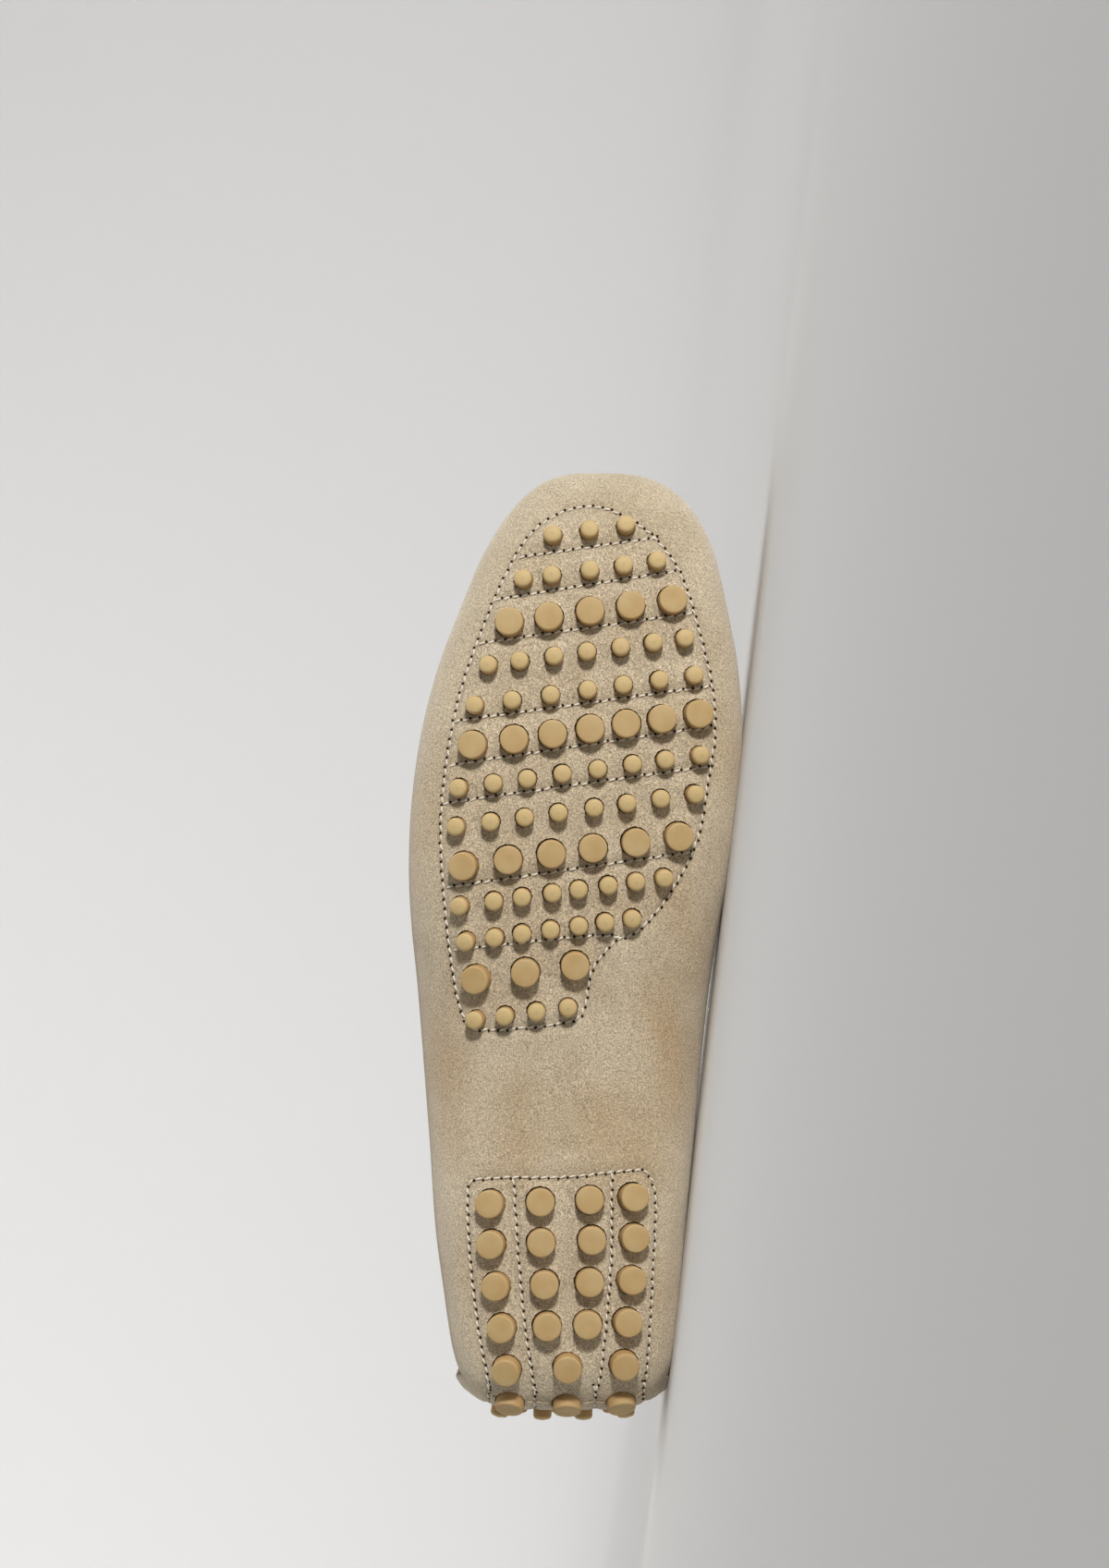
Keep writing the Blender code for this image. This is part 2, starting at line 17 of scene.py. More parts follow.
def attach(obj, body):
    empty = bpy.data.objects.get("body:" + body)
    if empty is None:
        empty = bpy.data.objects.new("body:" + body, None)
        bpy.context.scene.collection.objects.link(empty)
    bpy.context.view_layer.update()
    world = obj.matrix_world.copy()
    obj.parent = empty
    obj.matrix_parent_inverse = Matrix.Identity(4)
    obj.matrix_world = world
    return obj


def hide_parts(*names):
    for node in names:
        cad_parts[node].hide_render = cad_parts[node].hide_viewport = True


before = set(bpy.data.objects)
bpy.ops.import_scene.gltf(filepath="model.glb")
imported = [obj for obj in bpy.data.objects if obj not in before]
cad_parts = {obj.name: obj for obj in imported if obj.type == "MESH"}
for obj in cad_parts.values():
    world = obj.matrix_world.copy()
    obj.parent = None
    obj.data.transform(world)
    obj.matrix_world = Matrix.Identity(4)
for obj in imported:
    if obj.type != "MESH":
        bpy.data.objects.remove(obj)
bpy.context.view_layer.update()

# %% [markdown]
# ## The sizes of the last
#
# A last is described by its outline from below and by its profile. Both are short tables of shares, so
# that the shape stays readable. They are the solid model's own values, because the looks have to fit it.

# %% Sizes and tables
LENGTH = 0.284
OUTER_REACH = 0.048
INNER_REACH = 0.053
HEEL_REACH = 0.034
TOE_REACH = 0.0408
UPPER_HEIGHT = 0.060
TOE_SPRING = 0.009
WALL = 0.0020
FLAP_THICKNESS = 0.0012
THROAT_TAB = 0.015
STUD_HEIGHT = 0.0042
LARGE_RADIUS = 0.0045
SMALL_RADIUS = 0.0029
PLATE = 0.0016
SOCK = 0.0030
FIT_GAP = 0.0003
HOLE_CLEARANCE = 0.00020
HEEL_POWER, TOE_POWER, TOP_POWER = 4.4, 3.1, 2.3
HEEL_POLE, THROAT, TOE_POLE = 0.113, 0.530, 0.863

WIDTH_ALONG = [0.113, 0.183, 0.271, 0.361, 0.450, 0.509, 0.567, 0.627, 0.687, 0.745, 0.805, 0.863]
WIDTHS = {
    "outer": [0.769, 0.825, 0.863, 0.904, 0.945, 0.978, 0.996, 0.987, 0.951, 0.888, 0.787, 0.655],
    "inner": [0.680, 0.708, 0.755, 0.799, 0.850, 0.898, 0.956, 1.007, 1.034, 1.032, 1.004, 0.945],
}
PROFILE_ALONG = [0.0, 0.05, 0.113, 0.21, 0.31, 0.42, 0.53, 0.63, 0.74, 0.863, 0.94, 1.0]
PROFILES = {
    "lift": [0.0, 0.0, 0.0, 0.02, 0.22, 0.20, 0.04, 0.0, 0.10, 0.44, 0.74, 1.0],
    "belly": [0.38, 0.38, 0.39, 0.41, 0.43, 0.42, 0.37, 0.33, 0.30, 0.27, 0.255, 0.24],
    "power": [3.5, 3.5, 3.4, 3.1, 2.6, 2.6, 3.3, 3.9, 4.0, 3.6, 3.2, 3.0],
    "gather": [0.86, 0.83, 0.80, 0.80, 0.77, 0.70, 0.62, 0.605, 0.62, 0.61, 0.53, 0.47],
    "edge": [1.0, 0.975, 0.92, 0.85, 0.81, 0.84, 0.92, 0.81, 0.705, 0.635, 0.60, 0.585],
    "crown": [1.1, 1.1, 1.1, 1.1, 1.1, 1.1, 1.07, 0.95, 0.83, 0.74, 0.70, 0.68],
}


# %% [markdown]
# ## The last as functions
#
# A rib is a line from the shoe's middle out to its edge and up its side. The ribs stand in a row along the
# foot and fan out round the heel and the toe. Any point of the leather is a rib and a place on it, so one
# function can shape a mesh of any fineness.

# %% Ribs and the points on them
def smooth(alongs, values, along):
    """A table's value at a share of the length, on a smooth curve through its rows."""
    along = min(max(along, alongs[0]), alongs[-1])
    i = min(max(int(np.searchsorted(alongs, along)) - 1, 0), len(alongs) - 2)

    def slope(j):
        low, high = max(j - 1, 0), min(j + 1, len(alongs) - 1)
        return (values[high] - values[low]) / (alongs[high] - alongs[low])

    span = alongs[i + 1] - alongs[i]
    t = (along - alongs[i]) / span
    return (values[i] * (2 * t**3 - 3 * t**2 + 1) + slope(i) * span * (t**3 - 2 * t**2 + t)
            + values[i + 1] * (3 * t**2 - 2 * t**3) + slope(i + 1) * span * (t**3 - t**2))


def profile(column, along):
    return smooth(PROFILE_ALONG, PROFILES[column], along)


def brim_y(along, side):
    """The outline's place across the shoe, on the inner side (+1) or the outer side (-1)."""
    if side > 0:
        return INNER_REACH * smooth(WIDTH_ALONG, WIDTHS["inner"], along)
    return -OUTER_REACH * smooth(WIDTH_ALONG, WIDTHS["outer"], along)


def make_rib(along, side, turn=0.0):
    """(share of the length, middle, edge below, edge above) of a rib, turned in its fan by some degrees."""
    away = -1 if along < 0.5 else 1
    pole = Vector((along * LENGTH, (brim_y(along, 1) + brim_y(along, -1)) / 2))
    slant = (brim_y(along, side) - brim_y(along - away * 0.004, side)) / 0.004
    reach = HEEL_REACH if away < 0 else TOE_REACH
    ends = []
    for power in (HEEL_POWER if away < 0 else TOE_POWER, TOP_POWER):
        out = math.sin(math.radians(turn)) ** (2 / power)
        close = max(math.cos(math.radians(turn)), 0.0) ** (2 / power)
        half = brim_y(along, side) - pole.y + slant * out * reach / LENGTH
        ends.append(Vector((pole.x + away * reach * out, pole.y + half * close)))
    return along, pole, *ends


def underside(x):
    return STUD_HEIGHT + TOE_SPRING * profile("lift", x / LENGTH)


def wrap_point(rib, place):
    """A point of the wrap: place is 0 in the middle of the sole, 1 at its edge and 2 at the top."""
    _, pole, brim, top = rib
    along = brim.x / LENGTH
    belly = UPPER_HEIGHT * profile("belly", along)
    if place <= 1:
        turn, power = math.radians(90 * place), profile("power", along)
        plan = pole.lerp(brim, math.sin(turn) ** (2 / power))
        return Vector((*plan, underside(plan.x) + belly * (1 - max(math.cos(turn), 0.0) ** (2 / power))))
    share = place - 1
    plan = brim.lerp(pole.lerp(top, profile("gather", along)), share**2)
    low = underside(brim.x) + belly
    high = STUD_HEIGHT + UPPER_HEIGHT * profile("edge", along)
    return Vector((*plan, low + (high - low) * share))


def apron_point(rib, share):
    """A point of the apron: share is 1 at its seam and 0 along its middle."""
    station, pole, brim, top = rib
    along = brim.x / LENGTH
    plan = pole.lerp(top, profile("gather", along) * share)
    high = STUD_HEIGHT + UPPER_HEIGHT * profile("edge", along)
    crown = STUD_HEIGHT + UPPER_HEIGHT * profile("crown", station)
    tab = max(0.0, 1 - (station - THROAT) / 0.21) * THROAT_TAB * (1 - share**2)
    climb = (profile("crown", station) - profile("crown", station + 0.02)) * UPPER_HEIGHT / (0.02 * LENGTH)
    return Vector((plan.x - tab, plan.y, high + (crown - high) * (1 - share**1.7) + tab * climb))


def ribs_between(first, last, spacing, heel_turns=(), toe_turns=()):
    """Ribs from the heel to the toe on the inner side and back on the outer side."""
    count = round((last - first) / spacing)
    alongs = [first + (last - first) * i / count for i in range(count + 1)]

    def one_side(side):
        heel = [make_rib(first, side, t) for t in reversed(heel_turns)]
        return heel + [make_rib(a, side) for a in alongs] + [make_rib(last, side, t) for t in toe_turns]

    inner, outer = one_side(1), one_side(-1)
    return inner + outer[:-1][::-1] if toe_turns else inner + outer[::-1]


# %% [markdown]
# ## How the shoe lies
#
# A shoe can't stand on its heel's back, so this one lies on its inner side, on the ball and the heel. It is
# modelled standing, and each finished piece is then turned by one angle and set down. Its soft wall is
# pressed flat where it lies, so every point that would reach through the floor is put back on it.

# %% Pose of the shoe
TIP = math.radians(6.5564)
LAID_AT = Vector((-0.138603, -0.035663, 0.031269))
pose = Matrix.Translation(LAID_AT) @ Matrix.Rotation(-TIP, 4, "Y") @ Matrix.Rotation(-math.pi / 2, 4, "X")
out_of_floor = np.array([math.sin(TIP), -math.cos(TIP), 0.0])
print("toe points to", [round(v, 4) for v in pose.to_3x3() @ Vector((1, 0, 0))])


def settled(co):
    """Places of the standing shoe, moved back to the floor's plane where they lie past it."""
    depth = np.minimum(co @ out_of_floor + LAID_AT.z, 0)
    return co - depth[:, None] * out_of_floor

# %% [markdown]
# ## The camera and the studio
#
# The photograph looks straight at the sole, toe up. The shoe lies down here, so the camera is rolled a
# quarter turn and stays just above the floor. The floor sweeps up behind the shoe, as paper does in a
# studio. The main light comes from the toe's side, so that the studs throw short shadows towards the heel.

# %% Camera
AIM = Vector((0.1898, -0.0029, 0.0))
CAMERA_DISTANCE = 1.45
VIEW_HEIGHT = 0.476
CAMERA_FLOOR = 0.010

target = pose @ AIM
camera_data = bpy.data.cameras.new("sole_camera")
camera = bpy.data.objects.new("sole_camera", camera_data)
bpy.context.scene.collection.objects.link(camera)
spot = pose @ (AIM - Vector((0, 0, CAMERA_DISTANCE)))
spot.z = max(spot.z, CAMERA_FLOOR)
back = (spot - target).normalized()
up = pose.to_3x3() @ Vector((1, 0, 0))
right = up.cross(back).normalized()
up = back.cross(right)
camera.matrix_world = Matrix.Translation(spot) @ Matrix((right, up, back)).transposed().to_4x4()
camera_data.sensor_fit = "VERTICAL"
camera_data.sensor_height = 36
camera_data.lens = 36 * CAMERA_DISTANCE / VIEW_HEIGHT
camera_data.clip_start = 0.01
bpy.context.scene.camera = camera
print("camera at", [round(v, 3) for v in spot], "lens", round(camera_data.lens, 1), "mm")


# %% [markdown]
# Meshes are edited below as a hand would edit them: parts are selected, and an edit-mode operator works on
# the selection. Three helpers do the selecting.

# %% Helpers for selecting and editing
def only(*objects):
    """Selects just these objects and makes the first one active."""
    bpy.ops.object.select_all(action="DESELECT")
    for obj in objects:
        obj.select_set(True)
    bpy.context.view_layer.objects.active = objects[0]


@contextmanager
def edit_mode(obj, select=None):
    """Edit mode for the lines of a with block; select may be SELECT or DESELECT for the whole mesh."""
    only(obj)
    bpy.ops.object.mode_set(mode="EDIT")
    if select:
        bpy.ops.mesh.select_all(action=select)
    yield
    bpy.ops.object.mode_set(mode="OBJECT")


def choose(obj, kind, test):
    """Selects the vertices, edges or faces that pass a test, and nothing else."""
    with edit_mode(obj, "DESELECT"):
        bpy.ops.mesh.select_mode(type=kind)
    parts = {"VERT": obj.data.vertices, "EDGE": obj.data.edges, "FACE": obj.data.polygons}[kind]
    parts.foreach_set("select", [bool(test(part)) for part in parts])


# %% [markdown]
# Lights are area lights: large ones give the soft edges that the shadows have in the photograph. A pale
# world light fills the shadows from all round.

# %% Floor sweep, lights and world
bpy.ops.mesh.primitive_plane_add(size=1)
sweep = bpy.context.object
sweep.name = "studio_sweep"
only(sweep)
sweep.scale = (6, 6, 1)
sweep.location = (0, -1.9, 0)
bpy.ops.object.transform_apply(location=True, rotation=True, scale=True)
choose(sweep, "EDGE", lambda edge: all(sweep.data.vertices[k].co.y > 1 for k in edge.vertices))
with edit_mode(sweep):
    bpy.ops.mesh.spin(steps=24, angle=-math.pi / 2, center=(0, 1.1, 1.2), axis=(1, 0, 0))
    bpy.ops.mesh.extrude_region_move(TRANSFORM_OT_translate={"value": (0, 0, 3)})
sweep.data.shade_smooth()
print("sweep corners", [tuple(round(c, 2) for c in v.co) for v in sweep.data.vertices[-4:]])


def area_light(name, place, aim, size, power, colour):
    """A square light that faces its aim."""
    data = bpy.data.lights.new(name, "AREA")
    data.size, data.energy, data.color = size, power, colour
    lamp = bpy.data.objects.new(name, data)
    bpy.context.scene.collection.objects.link(lamp)
    turned = (Vector(aim) - Vector(place)).to_track_quat("-Z", "Y").to_matrix().to_4x4()
    lamp.matrix_world = Matrix.Translation(place) @ turned


area_light("key_from_toe", target + Vector((2.18, -2.22, 0.13)), target, 0.46, 112, (1.0, 0.985, 0.965))
area_light("fill_from_sole", (-0.5, -1.8, 0.4), target, 0.7, 0.8, (1.0, 0.90, 0.78))
area_light("top_soft", (-0.1, 0.3, 1.9), (-0.05, 0, 0), 1.8, 18, (1.0, 0.99, 0.97))
area_light("heel_glow", (-1.6, -0.15, 0.5), (-0.1, 0, 0.05), 0.8, 4.5, (1.0, 0.98, 0.95))
area_light("back_soft", (-0.4, 1.9, 1.2), (0, 0, 0.05), 1.4, 6, (1.0, 1.0, 1.0))
area_light("paper_glow", (-1.6, 1.4, 0.6), (-0.5, 2.0, 0.2), 0.8, 6, (1.0, 1.0, 1.0))

world = bpy.data.worlds.new("studio_air")
world.use_nodes = True
world.node_tree.nodes["Background"].inputs["Color"].default_value = (1.0, 0.93, 0.84, 1)
world.node_tree.nodes["Background"].inputs["Strength"].default_value = 0.03
bpy.context.scene.world = world
bpy.context.scene.view_settings.view_transform = "Standard"


# %% [markdown]
# ## Materials
#
# Suede is leather with its fibres brushed up. It has no gloss, a fine speckle where single fibres catch
# the light, and soft patches where the nap lies another way. Each of those is a noise of its own size,
# mixed into the colour and the bump. A helper builds the nodes, and each finish is a few numbers.

# %% Node helpers
def linear(red, green, blue):
    """A screen colour, each part from 0 to 255, as the light values that shaders take."""
    return tuple(c / 12.92 if c <= 0.04045 else ((c + 0.055) / 1.055) ** 2.4
                 for c in (red / 255, green / 255, blue / 255))


class Finish:
    """A material whose nodes are added one by one."""

    def __init__(self, name, roughness, specular=0.5, sheen=0.0):
        self.material = bpy.data.materials.new(name)
        self.material.use_nodes = True
        self.tree = self.material.node_tree
        self.shader = self.tree.nodes["Principled BSDF"]
        self.put(self.shader, {"Roughness": roughness, "Specular IOR Level": specular})
        self.put(self.shader, {"Sheen Weight": sheen, "Sheen Roughness": 0.6})
        self.place = self.tree.nodes.new("ShaderNodeTexCoord").outputs["Object"]

    def put(self, node, values):
        """Gives a node's inputs their values: a number, a colour or another node's output."""
        for name, value in values.items():
            socket = next(s for s in node.inputs if s.name == name and s.enabled)
            if isinstance(value, bpy.types.NodeSocket):
                self.tree.links.new(value, socket)
            else:
                socket.default_value = (*value, 1) if isinstance(value, tuple) else value

    def noise(self, scale, detail=2.0, roughness=0.5, distortion=0.0):
        node = self.tree.nodes.new("ShaderNodeTexNoise")
        self.put(node, {"Scale": scale, "Detail": detail, "Roughness": roughness, "Distortion": distortion})
        self.put(node, {"Vector": self.place})
        return node.outputs["Fac"]

    def ramp(self, value, low, high, dark=(0, 0, 0), light=(1, 1, 1)):
        node = self.tree.nodes.new("ShaderNodeValToRGB")
        for element, place, colour in zip(node.color_ramp.elements, (low, high), (dark, light)):
            element.position = place
            element.color = (*colour, 1)
        self.put(node, {"Fac": value})
        return node.outputs["Color"]

    def mix(self, fac, first, second, how="MIX"):
        node = self.tree.nodes.new("ShaderNodeMix")
        node.data_type = "RGBA"
        node.blend_type = how
        self.put(node, {"Factor": fac, "A": first, "B": second})
        return next(s for s in node.outputs if s.enabled)

    def attribute(self, name):
        node = self.tree.nodes.new("ShaderNodeAttribute")
        node.attribute_name = name
        return node.outputs["Fac"]

    def bump(self, height, strength, distance):
        node = self.tree.nodes.new("ShaderNodeBump")
        self.put(node, {"Strength": strength, "Distance": distance, "Height": height})
        if self.shader.inputs["Normal"].links:
            self.put(node, {"Normal": self.shader.inputs["Normal"].links[0].from_socket})
        self.put(self.shader, {"Normal": node.outputs["Normal"]})

    def colour(self, colour):
        self.put(self.shader, {"Base Color": colour})


# %% Suede, rubber, thread and leather
def suede_finish(name, pale, middle, warm):
    made = Finish(name, 1.0, specular=0.08, sheen=0.6)
    made.put(made.shader, {"Sheen Tint": (1.0, 0.94, 0.84)})
    clouds = made.noise(55, detail=2, roughness=0.5, distortion=0.5)
    fibres = made.noise(2100, detail=2, roughness=0.65)
    curls = made.noise(1150, detail=3, roughness=0.7, distortion=1.4)
    ground = made.mix(made.ramp(clouds, 0.30, 0.70), middle, pale)
    patched = made.mix(made.attribute("warm"), ground, warm)
    fine = made.ramp(fibres, 0.30, 0.70, (0.50, 0.48, 0.45), (1.43, 1.44, 1.46))
    rough = made.ramp(curls, 0.32, 0.68, (0.60, 0.58, 0.56), (1.33, 1.34, 1.35))
    speckled = made.mix(1.0, patched, fine, "MULTIPLY")
    roughness = made.ramp(made.attribute("field"), 0.0, 1.0, (0.12, 0.12, 0.12), (1, 1, 1))
    brushed = made.mix(roughness, speckled, rough, "MULTIPLY")
    # Painted shade: the stitch grooves are darkened towards a deep brown, by the number kept as pressed.
    groove_shaded = made.mix(made.attribute("pressed"), brushed, linear(120, 98, 70))
    made.colour(groove_shaded)
    made.bump(fibres, 0.55, 0.00035)
    made.bump(curls, 0.65, 0.00055)
    return made.material


def rubber_finish(name, colour, dust, side_shade):
    made = Finish(name, 0.62, specular=0.30)
    grain = made.noise(1400, detail=3)
    cloud = made.noise(140, detail=2)
    face = made.mix(made.ramp(cloud, 0.35, 0.65), colour, dust)
    face = made.mix(made.attribute("pale"), face, linear(192, 168, 120))
    # Painted shade: the wall below the rim takes a darker, more orange colour than the face.
    made.colour(made.mix(made.attribute("side"), face, side_shade))
    made.bump(grain, 0.16, 0.0002)
    made.put(made.shader, {"Subsurface Weight": 0.10, "Subsurface Scale": 0.0015})
    return made.material


def thread_finish(name, colour):
    made = Finish(name, 0.75, specular=0.3)
    strands = made.noise(3500, detail=2)
    made.colour(made.mix(made.ramp(strands, 0.3, 0.7), tuple(0.7 * c for c in colour), colour))
    made.bump(strands, 0.5, 0.0002)
    return made.material


def leather_finish(name, colour, dark):
    made = Finish(name, 0.55, specular=0.4)
    grain = made.noise(1100, detail=4, roughness=0.6)
    cloud = made.noise(60, detail=3)
    made.colour(made.mix(made.ramp(cloud, 0.35, 0.7), dark, colour))
    made.bump(grain, 0.25, 0.0003)
    return made.material


suede = suede_finish("sand_suede", linear(197, 183, 158), linear(183, 167, 140), linear(174, 146, 108))
raw_edge = suede_finish("raw_suede_edge", linear(204, 186, 158), linear(194, 173, 144),
                        linear(160, 132, 96))
lining = leather_finish("tan_lining", linear(190, 160, 118), linear(168, 136, 96))
sock_leather = leather_finish("sock_leather", linear(184, 150, 106), linear(160, 126, 84))
# The rubber's last colour is painted shade for the studs' side walls and the plate.
rubber = rubber_finish("gum_rubber", linear(178, 149, 101), linear(184, 159, 114), linear(156, 117, 68))
cream_thread = thread_finish("cream_thread", linear(238, 231, 215))
seam_thread = thread_finish("sand_thread", linear(205, 188, 156))
# A dark material for the discs that paint the shade inside each needle hole.
needle_shade = Finish("needle_hole_shade", 1.0, specular=0.0)
needle_shade.colour(linear(52, 38, 26))
sweep_paper = Finish("studio_paper", 0.95, specular=0.1)
sweep_paper.colour(linear(238, 238, 238))
sweep.data.materials.append(sweep_paper.material)


# %% [markdown]
# ## Working on meshes
#
# A flat grid is the natural start for leather: each of its points is given a rib and a place on the rib,
# just as a flat skin is pulled round a last. Where the two sides meet, the doubled points are merged.

# %% Mesh helpers
SAME_PLACE = 0.00002
DOWN, UP, BACKWARD = Vector((0, 0, -1)), Vector((0, 0, 1)), Vector((-1, 0, 0))


def skin(name, ribs, places, way, levels, closed=False, point=wrap_point):
    """A grid primitive pulled onto the last: its columns are the ribs and its rows the places."""
    columns = len(ribs) if closed else len(ribs) - 1
    bpy.ops.mesh.primitive_grid_add(x_subdivisions=columns, y_subdivisions=len(places) - 1, size=1)
    obj = bpy.context.object
    obj.name = name
    for vertex in obj.data.vertices:
        column = round((vertex.co.x + 0.5) * columns) % len(ribs)
        row = round((vertex.co.y + 0.5) * (len(places) - 1))
        vertex.co = point(ribs[column], places[row])
    with edit_mode(obj, "SELECT"):
        bpy.ops.mesh.remove_doubles(threshold=SAME_PLACE)
        bpy.ops.mesh.normals_make_consistent(inside=False)
    face_along(obj, way)
    apply_modifier(obj, "SUBSURF", levels=levels, render_levels=levels)
    obj.data.shade_smooth()
    return obj


def face_along(obj, way):
    """Turns the faces round if the largest part of them looks away from a direction."""
    if sum(f.normal.dot(way) * f.area for f in obj.data.polygons) < 0:
        with edit_mode(obj, "SELECT"):
            bpy.ops.mesh.flip_normals()


def coat(obj, *materials):
    for material in materials:
        obj.data.materials.append(material)


def joined(name, pieces):
    """Joins the pieces into the first one and names it."""
    only(*pieces)
    bpy.ops.object.join()
    pieces[0].name = name
    return pieces[0]


def apply_modifier(obj, kind, **settings):
    only(obj)
    modifier = obj.modifiers.new(kind.lower(), kind)
    for key, value in settings.items():
        setattr(modifier, key, value)
    bpy.ops.object.modifier_apply(modifier=modifier.name)


def places_of(obj, kind="co"):
    """The places of a mesh's points, or their normals."""
    flat = np.empty(len(obj.data.vertices) * 3, np.float32)
    obj.data.vertices.foreach_get(kind, flat)
    return flat.reshape(-1, 3).astype(float)


def set_places(obj, co):
    obj.data.vertices.foreach_set("co", co.astype(np.float32).ravel())
    obj.data.update()


def push(obj, distance):
    """Moves the points out along their normals, all alike or each by its own distance."""
    set_places(obj, places_of(obj) + places_of(obj, "normal") * np.reshape(distance, (-1, 1)))


def tree_of(obj):
    faces = [tuple(f.vertices) for f in obj.data.polygons]
    return BVHTree.FromPolygons([v.co for v in obj.data.vertices], faces)


def distance_to(co, line):
    """How far each place is from a line of points, and how far along the line the nearest place is."""
    best = np.full(len(co), 1e9)
    where = np.zeros(len(co))
    run = 0.0
    for a, b in zip(line[:-1], line[1:]):
        step = b - a
        length = float(np.linalg.norm(step))
        if length < 1e-9:
            continue
        t = np.clip((co - a) @ step / length**2, 0, 1)
        d = np.linalg.norm(co - (a + t[:, None] * step), axis=1)
        nearer = d < best
        best[nearer] = d[nearer]
        where[nearer] = (run + t * length)[nearer]
        run += length
    return best, where


def near_lines(co, lines):
    """How far each place is from the nearest of several lines."""
    return np.min([distance_to(co, line)[0] for line in lines], axis=0)


# %% [markdown]
# ## The wrapped suede, before it is punched
#
# The wrap is the shoe's main piece: sole, sides and top edge in one. It gets its fine surface from a
# Subdivision Surface, since the last has no hard edges.

# %% Evenly spaced ribs and rows
MEAN_HALF, MEAN_BELLY, MEAN_POWER = 0.045, 0.023, 3.4


def fan_turns(count, power):
    """Turns of a fan whose ribs end at even steps round a superellipse."""
    even = [math.radians(90 * i / count) for i in range(1, count)]
    return [math.degrees(math.atan(math.tan(a) ** (power / 2))) for a in even] + [90]


def ribs_round_back(turns, end, count):
    """Ribs from the inner side round the heel's back to the outer side."""
    alongs = np.linspace(HEEL_POLE, end, count)
    inner = [make_rib(a, 1) for a in reversed(alongs)] + [make_rib(HEEL_POLE, 1, t) for t in turns]
    outer = [make_rib(HEEL_POLE, -1, t) for t in reversed(turns[:-1])] + [make_rib(a, -1) for a in alongs]
    return inner + outer


def sole_rows(count):
    """Places from the middle of the sole to its edge, evenly spaced on a rib of the shoe's mean size."""
    turns = np.radians(np.linspace(0, 1, 4000) ** 2 * 90)
    out = MEAN_HALF * np.sin(turns) ** (2 / MEAN_POWER)
    rise = MEAN_BELLY * (1 - np.maximum(np.cos(turns), 0) ** (2 / MEAN_POWER))
    run = np.concatenate([[0], np.cumsum(np.hypot(np.diff(out), np.diff(rise)))])
    return [float(v) / (math.pi / 2) for v in np.interp(np.linspace(0, run[-1], count + 1), run, turns)]


# %% The wrap
HEEL_TURNS = fan_turns(22, HEEL_POWER)
TOE_TURNS = fan_turns(26, TOE_POWER)
wrap_places = sole_rows(24) + [1 + i / 13 for i in range(1, 14)]
wrap_ribs = ribs_between(HEEL_POLE, TOE_POLE, 0.0092, HEEL_TURNS, TOE_TURNS)[:-1]
wrap = skin("suede_wrap", wrap_ribs, wrap_places, DOWN, 1, closed=True)
sole_tree = tree_of(wrap)
print("wrap:", len(wrap.data.polygons), "faces")

# %% [markdown]
# ## Where the studs stand
#
# The studs form slanting rows. A row is one line of a table: its size, the gaps between its studs in
# proportion to each other, where it crosses the shoe and where its end studs are. A ray from below finds
# the leather at each. The rows behind the heel sink into the padded flap, so each has its own small lift.

# %% Stud table and places
FOREFOOT_SLANT, HEEL_SLANT = 0.137, 0.045
FOREFOOT_ROWS = [
    ("small", (1.00, 1.00), 0.936, -0.067, 0.355),
    ("small", (0.85, 1.14, 1.02, 0.99), 0.893, -0.254, 0.532),
    ("large", (0.96, 1.02, 1.00, 1.02), 0.849, -0.342, 0.621),
    ("small", (0.95, 1.05, 1.01, 1.04, 1.00, 0.94), 0.806, -0.475, 0.689),
    ("small", (1.01, 1.06, 1.02, 0.98, 0.99, 0.94), 0.765, -0.560, 0.743),
    ("large", (1.10, 1.03, 1.01, 0.96, 0.96, 0.96), 0.723, -0.575, 0.768),
    ("small", (1.00, 0.98, 1.03, 1.03, 1.02, 0.95, 0.99), 0.679, -0.662, 0.775),
    ("small", (0.99, 1.00, 0.99, 1.05, 0.97, 0.98, 0.99), 0.638, -0.677, 0.747),
    ("large", (1.03, 1.01, 0.97, 1.00, 0.99), 0.595, -0.633, 0.655),
    ("small", (1.16, 0.96, 1.05, 0.90, 1.03, 0.95, 0.95), 0.553, -0.654, 0.570),
    ("small", (1.02, 0.99, 1.03, 1.03, 0.96, 0.97), 0.514, -0.614, 0.389),
    ("large", (0.99, 1.01), 0.472, -0.552, 0.064),
    ("small", (0.94, 1.03, 1.03), 0.428, -0.552, 0.023),
]
HEEL_ROWS = [
    ("large", (1.05, 1.04, 0.91), 0.221, -0.463, 0.394),
    ("large", (1.05, 1.07, 0.88), 0.178, -0.458, 0.398),
    ("large", (1.07, 1.01, 0.92), 0.133, -0.427, 0.383),
    ("large", (1.08, 0.97, 0.95), 0.088, -0.391, 0.362),
    ("large", (1.04, 0.96), 0.043, -0.362, 0.343),
]
BACK_ROWS = [
    ("large", (1.03, 0.97), 66, 0.38, -0.342, 0.326, -0.00096),
    ("small", (1.00, 1.00, 1.00), 90, 0.34, -0.400, 0.350, 0.0002),
    ("large", (1.00, 1.00), 90, 0.54, -0.320, 0.300, -0.0002),
]
RADII = {"large": LARGE_RADIUS, "small": SMALL_RADIUS}


def reach_share(share):
    return share * (INNER_REACH if share > 0 else OUTER_REACH)


def meet_sole(along, y):
    """The leather above a place on the ground, and the way it faces."""
    start = Vector((along * LENGTH, y, -0.05))
    place, normal, _, _ = sole_tree.ray_cast(start, Vector((0, 0, 1)))
    if place is None:
        place, normal, _, _ = sole_tree.find_nearest(Vector((start.x, y, 0)))
    return place, normal


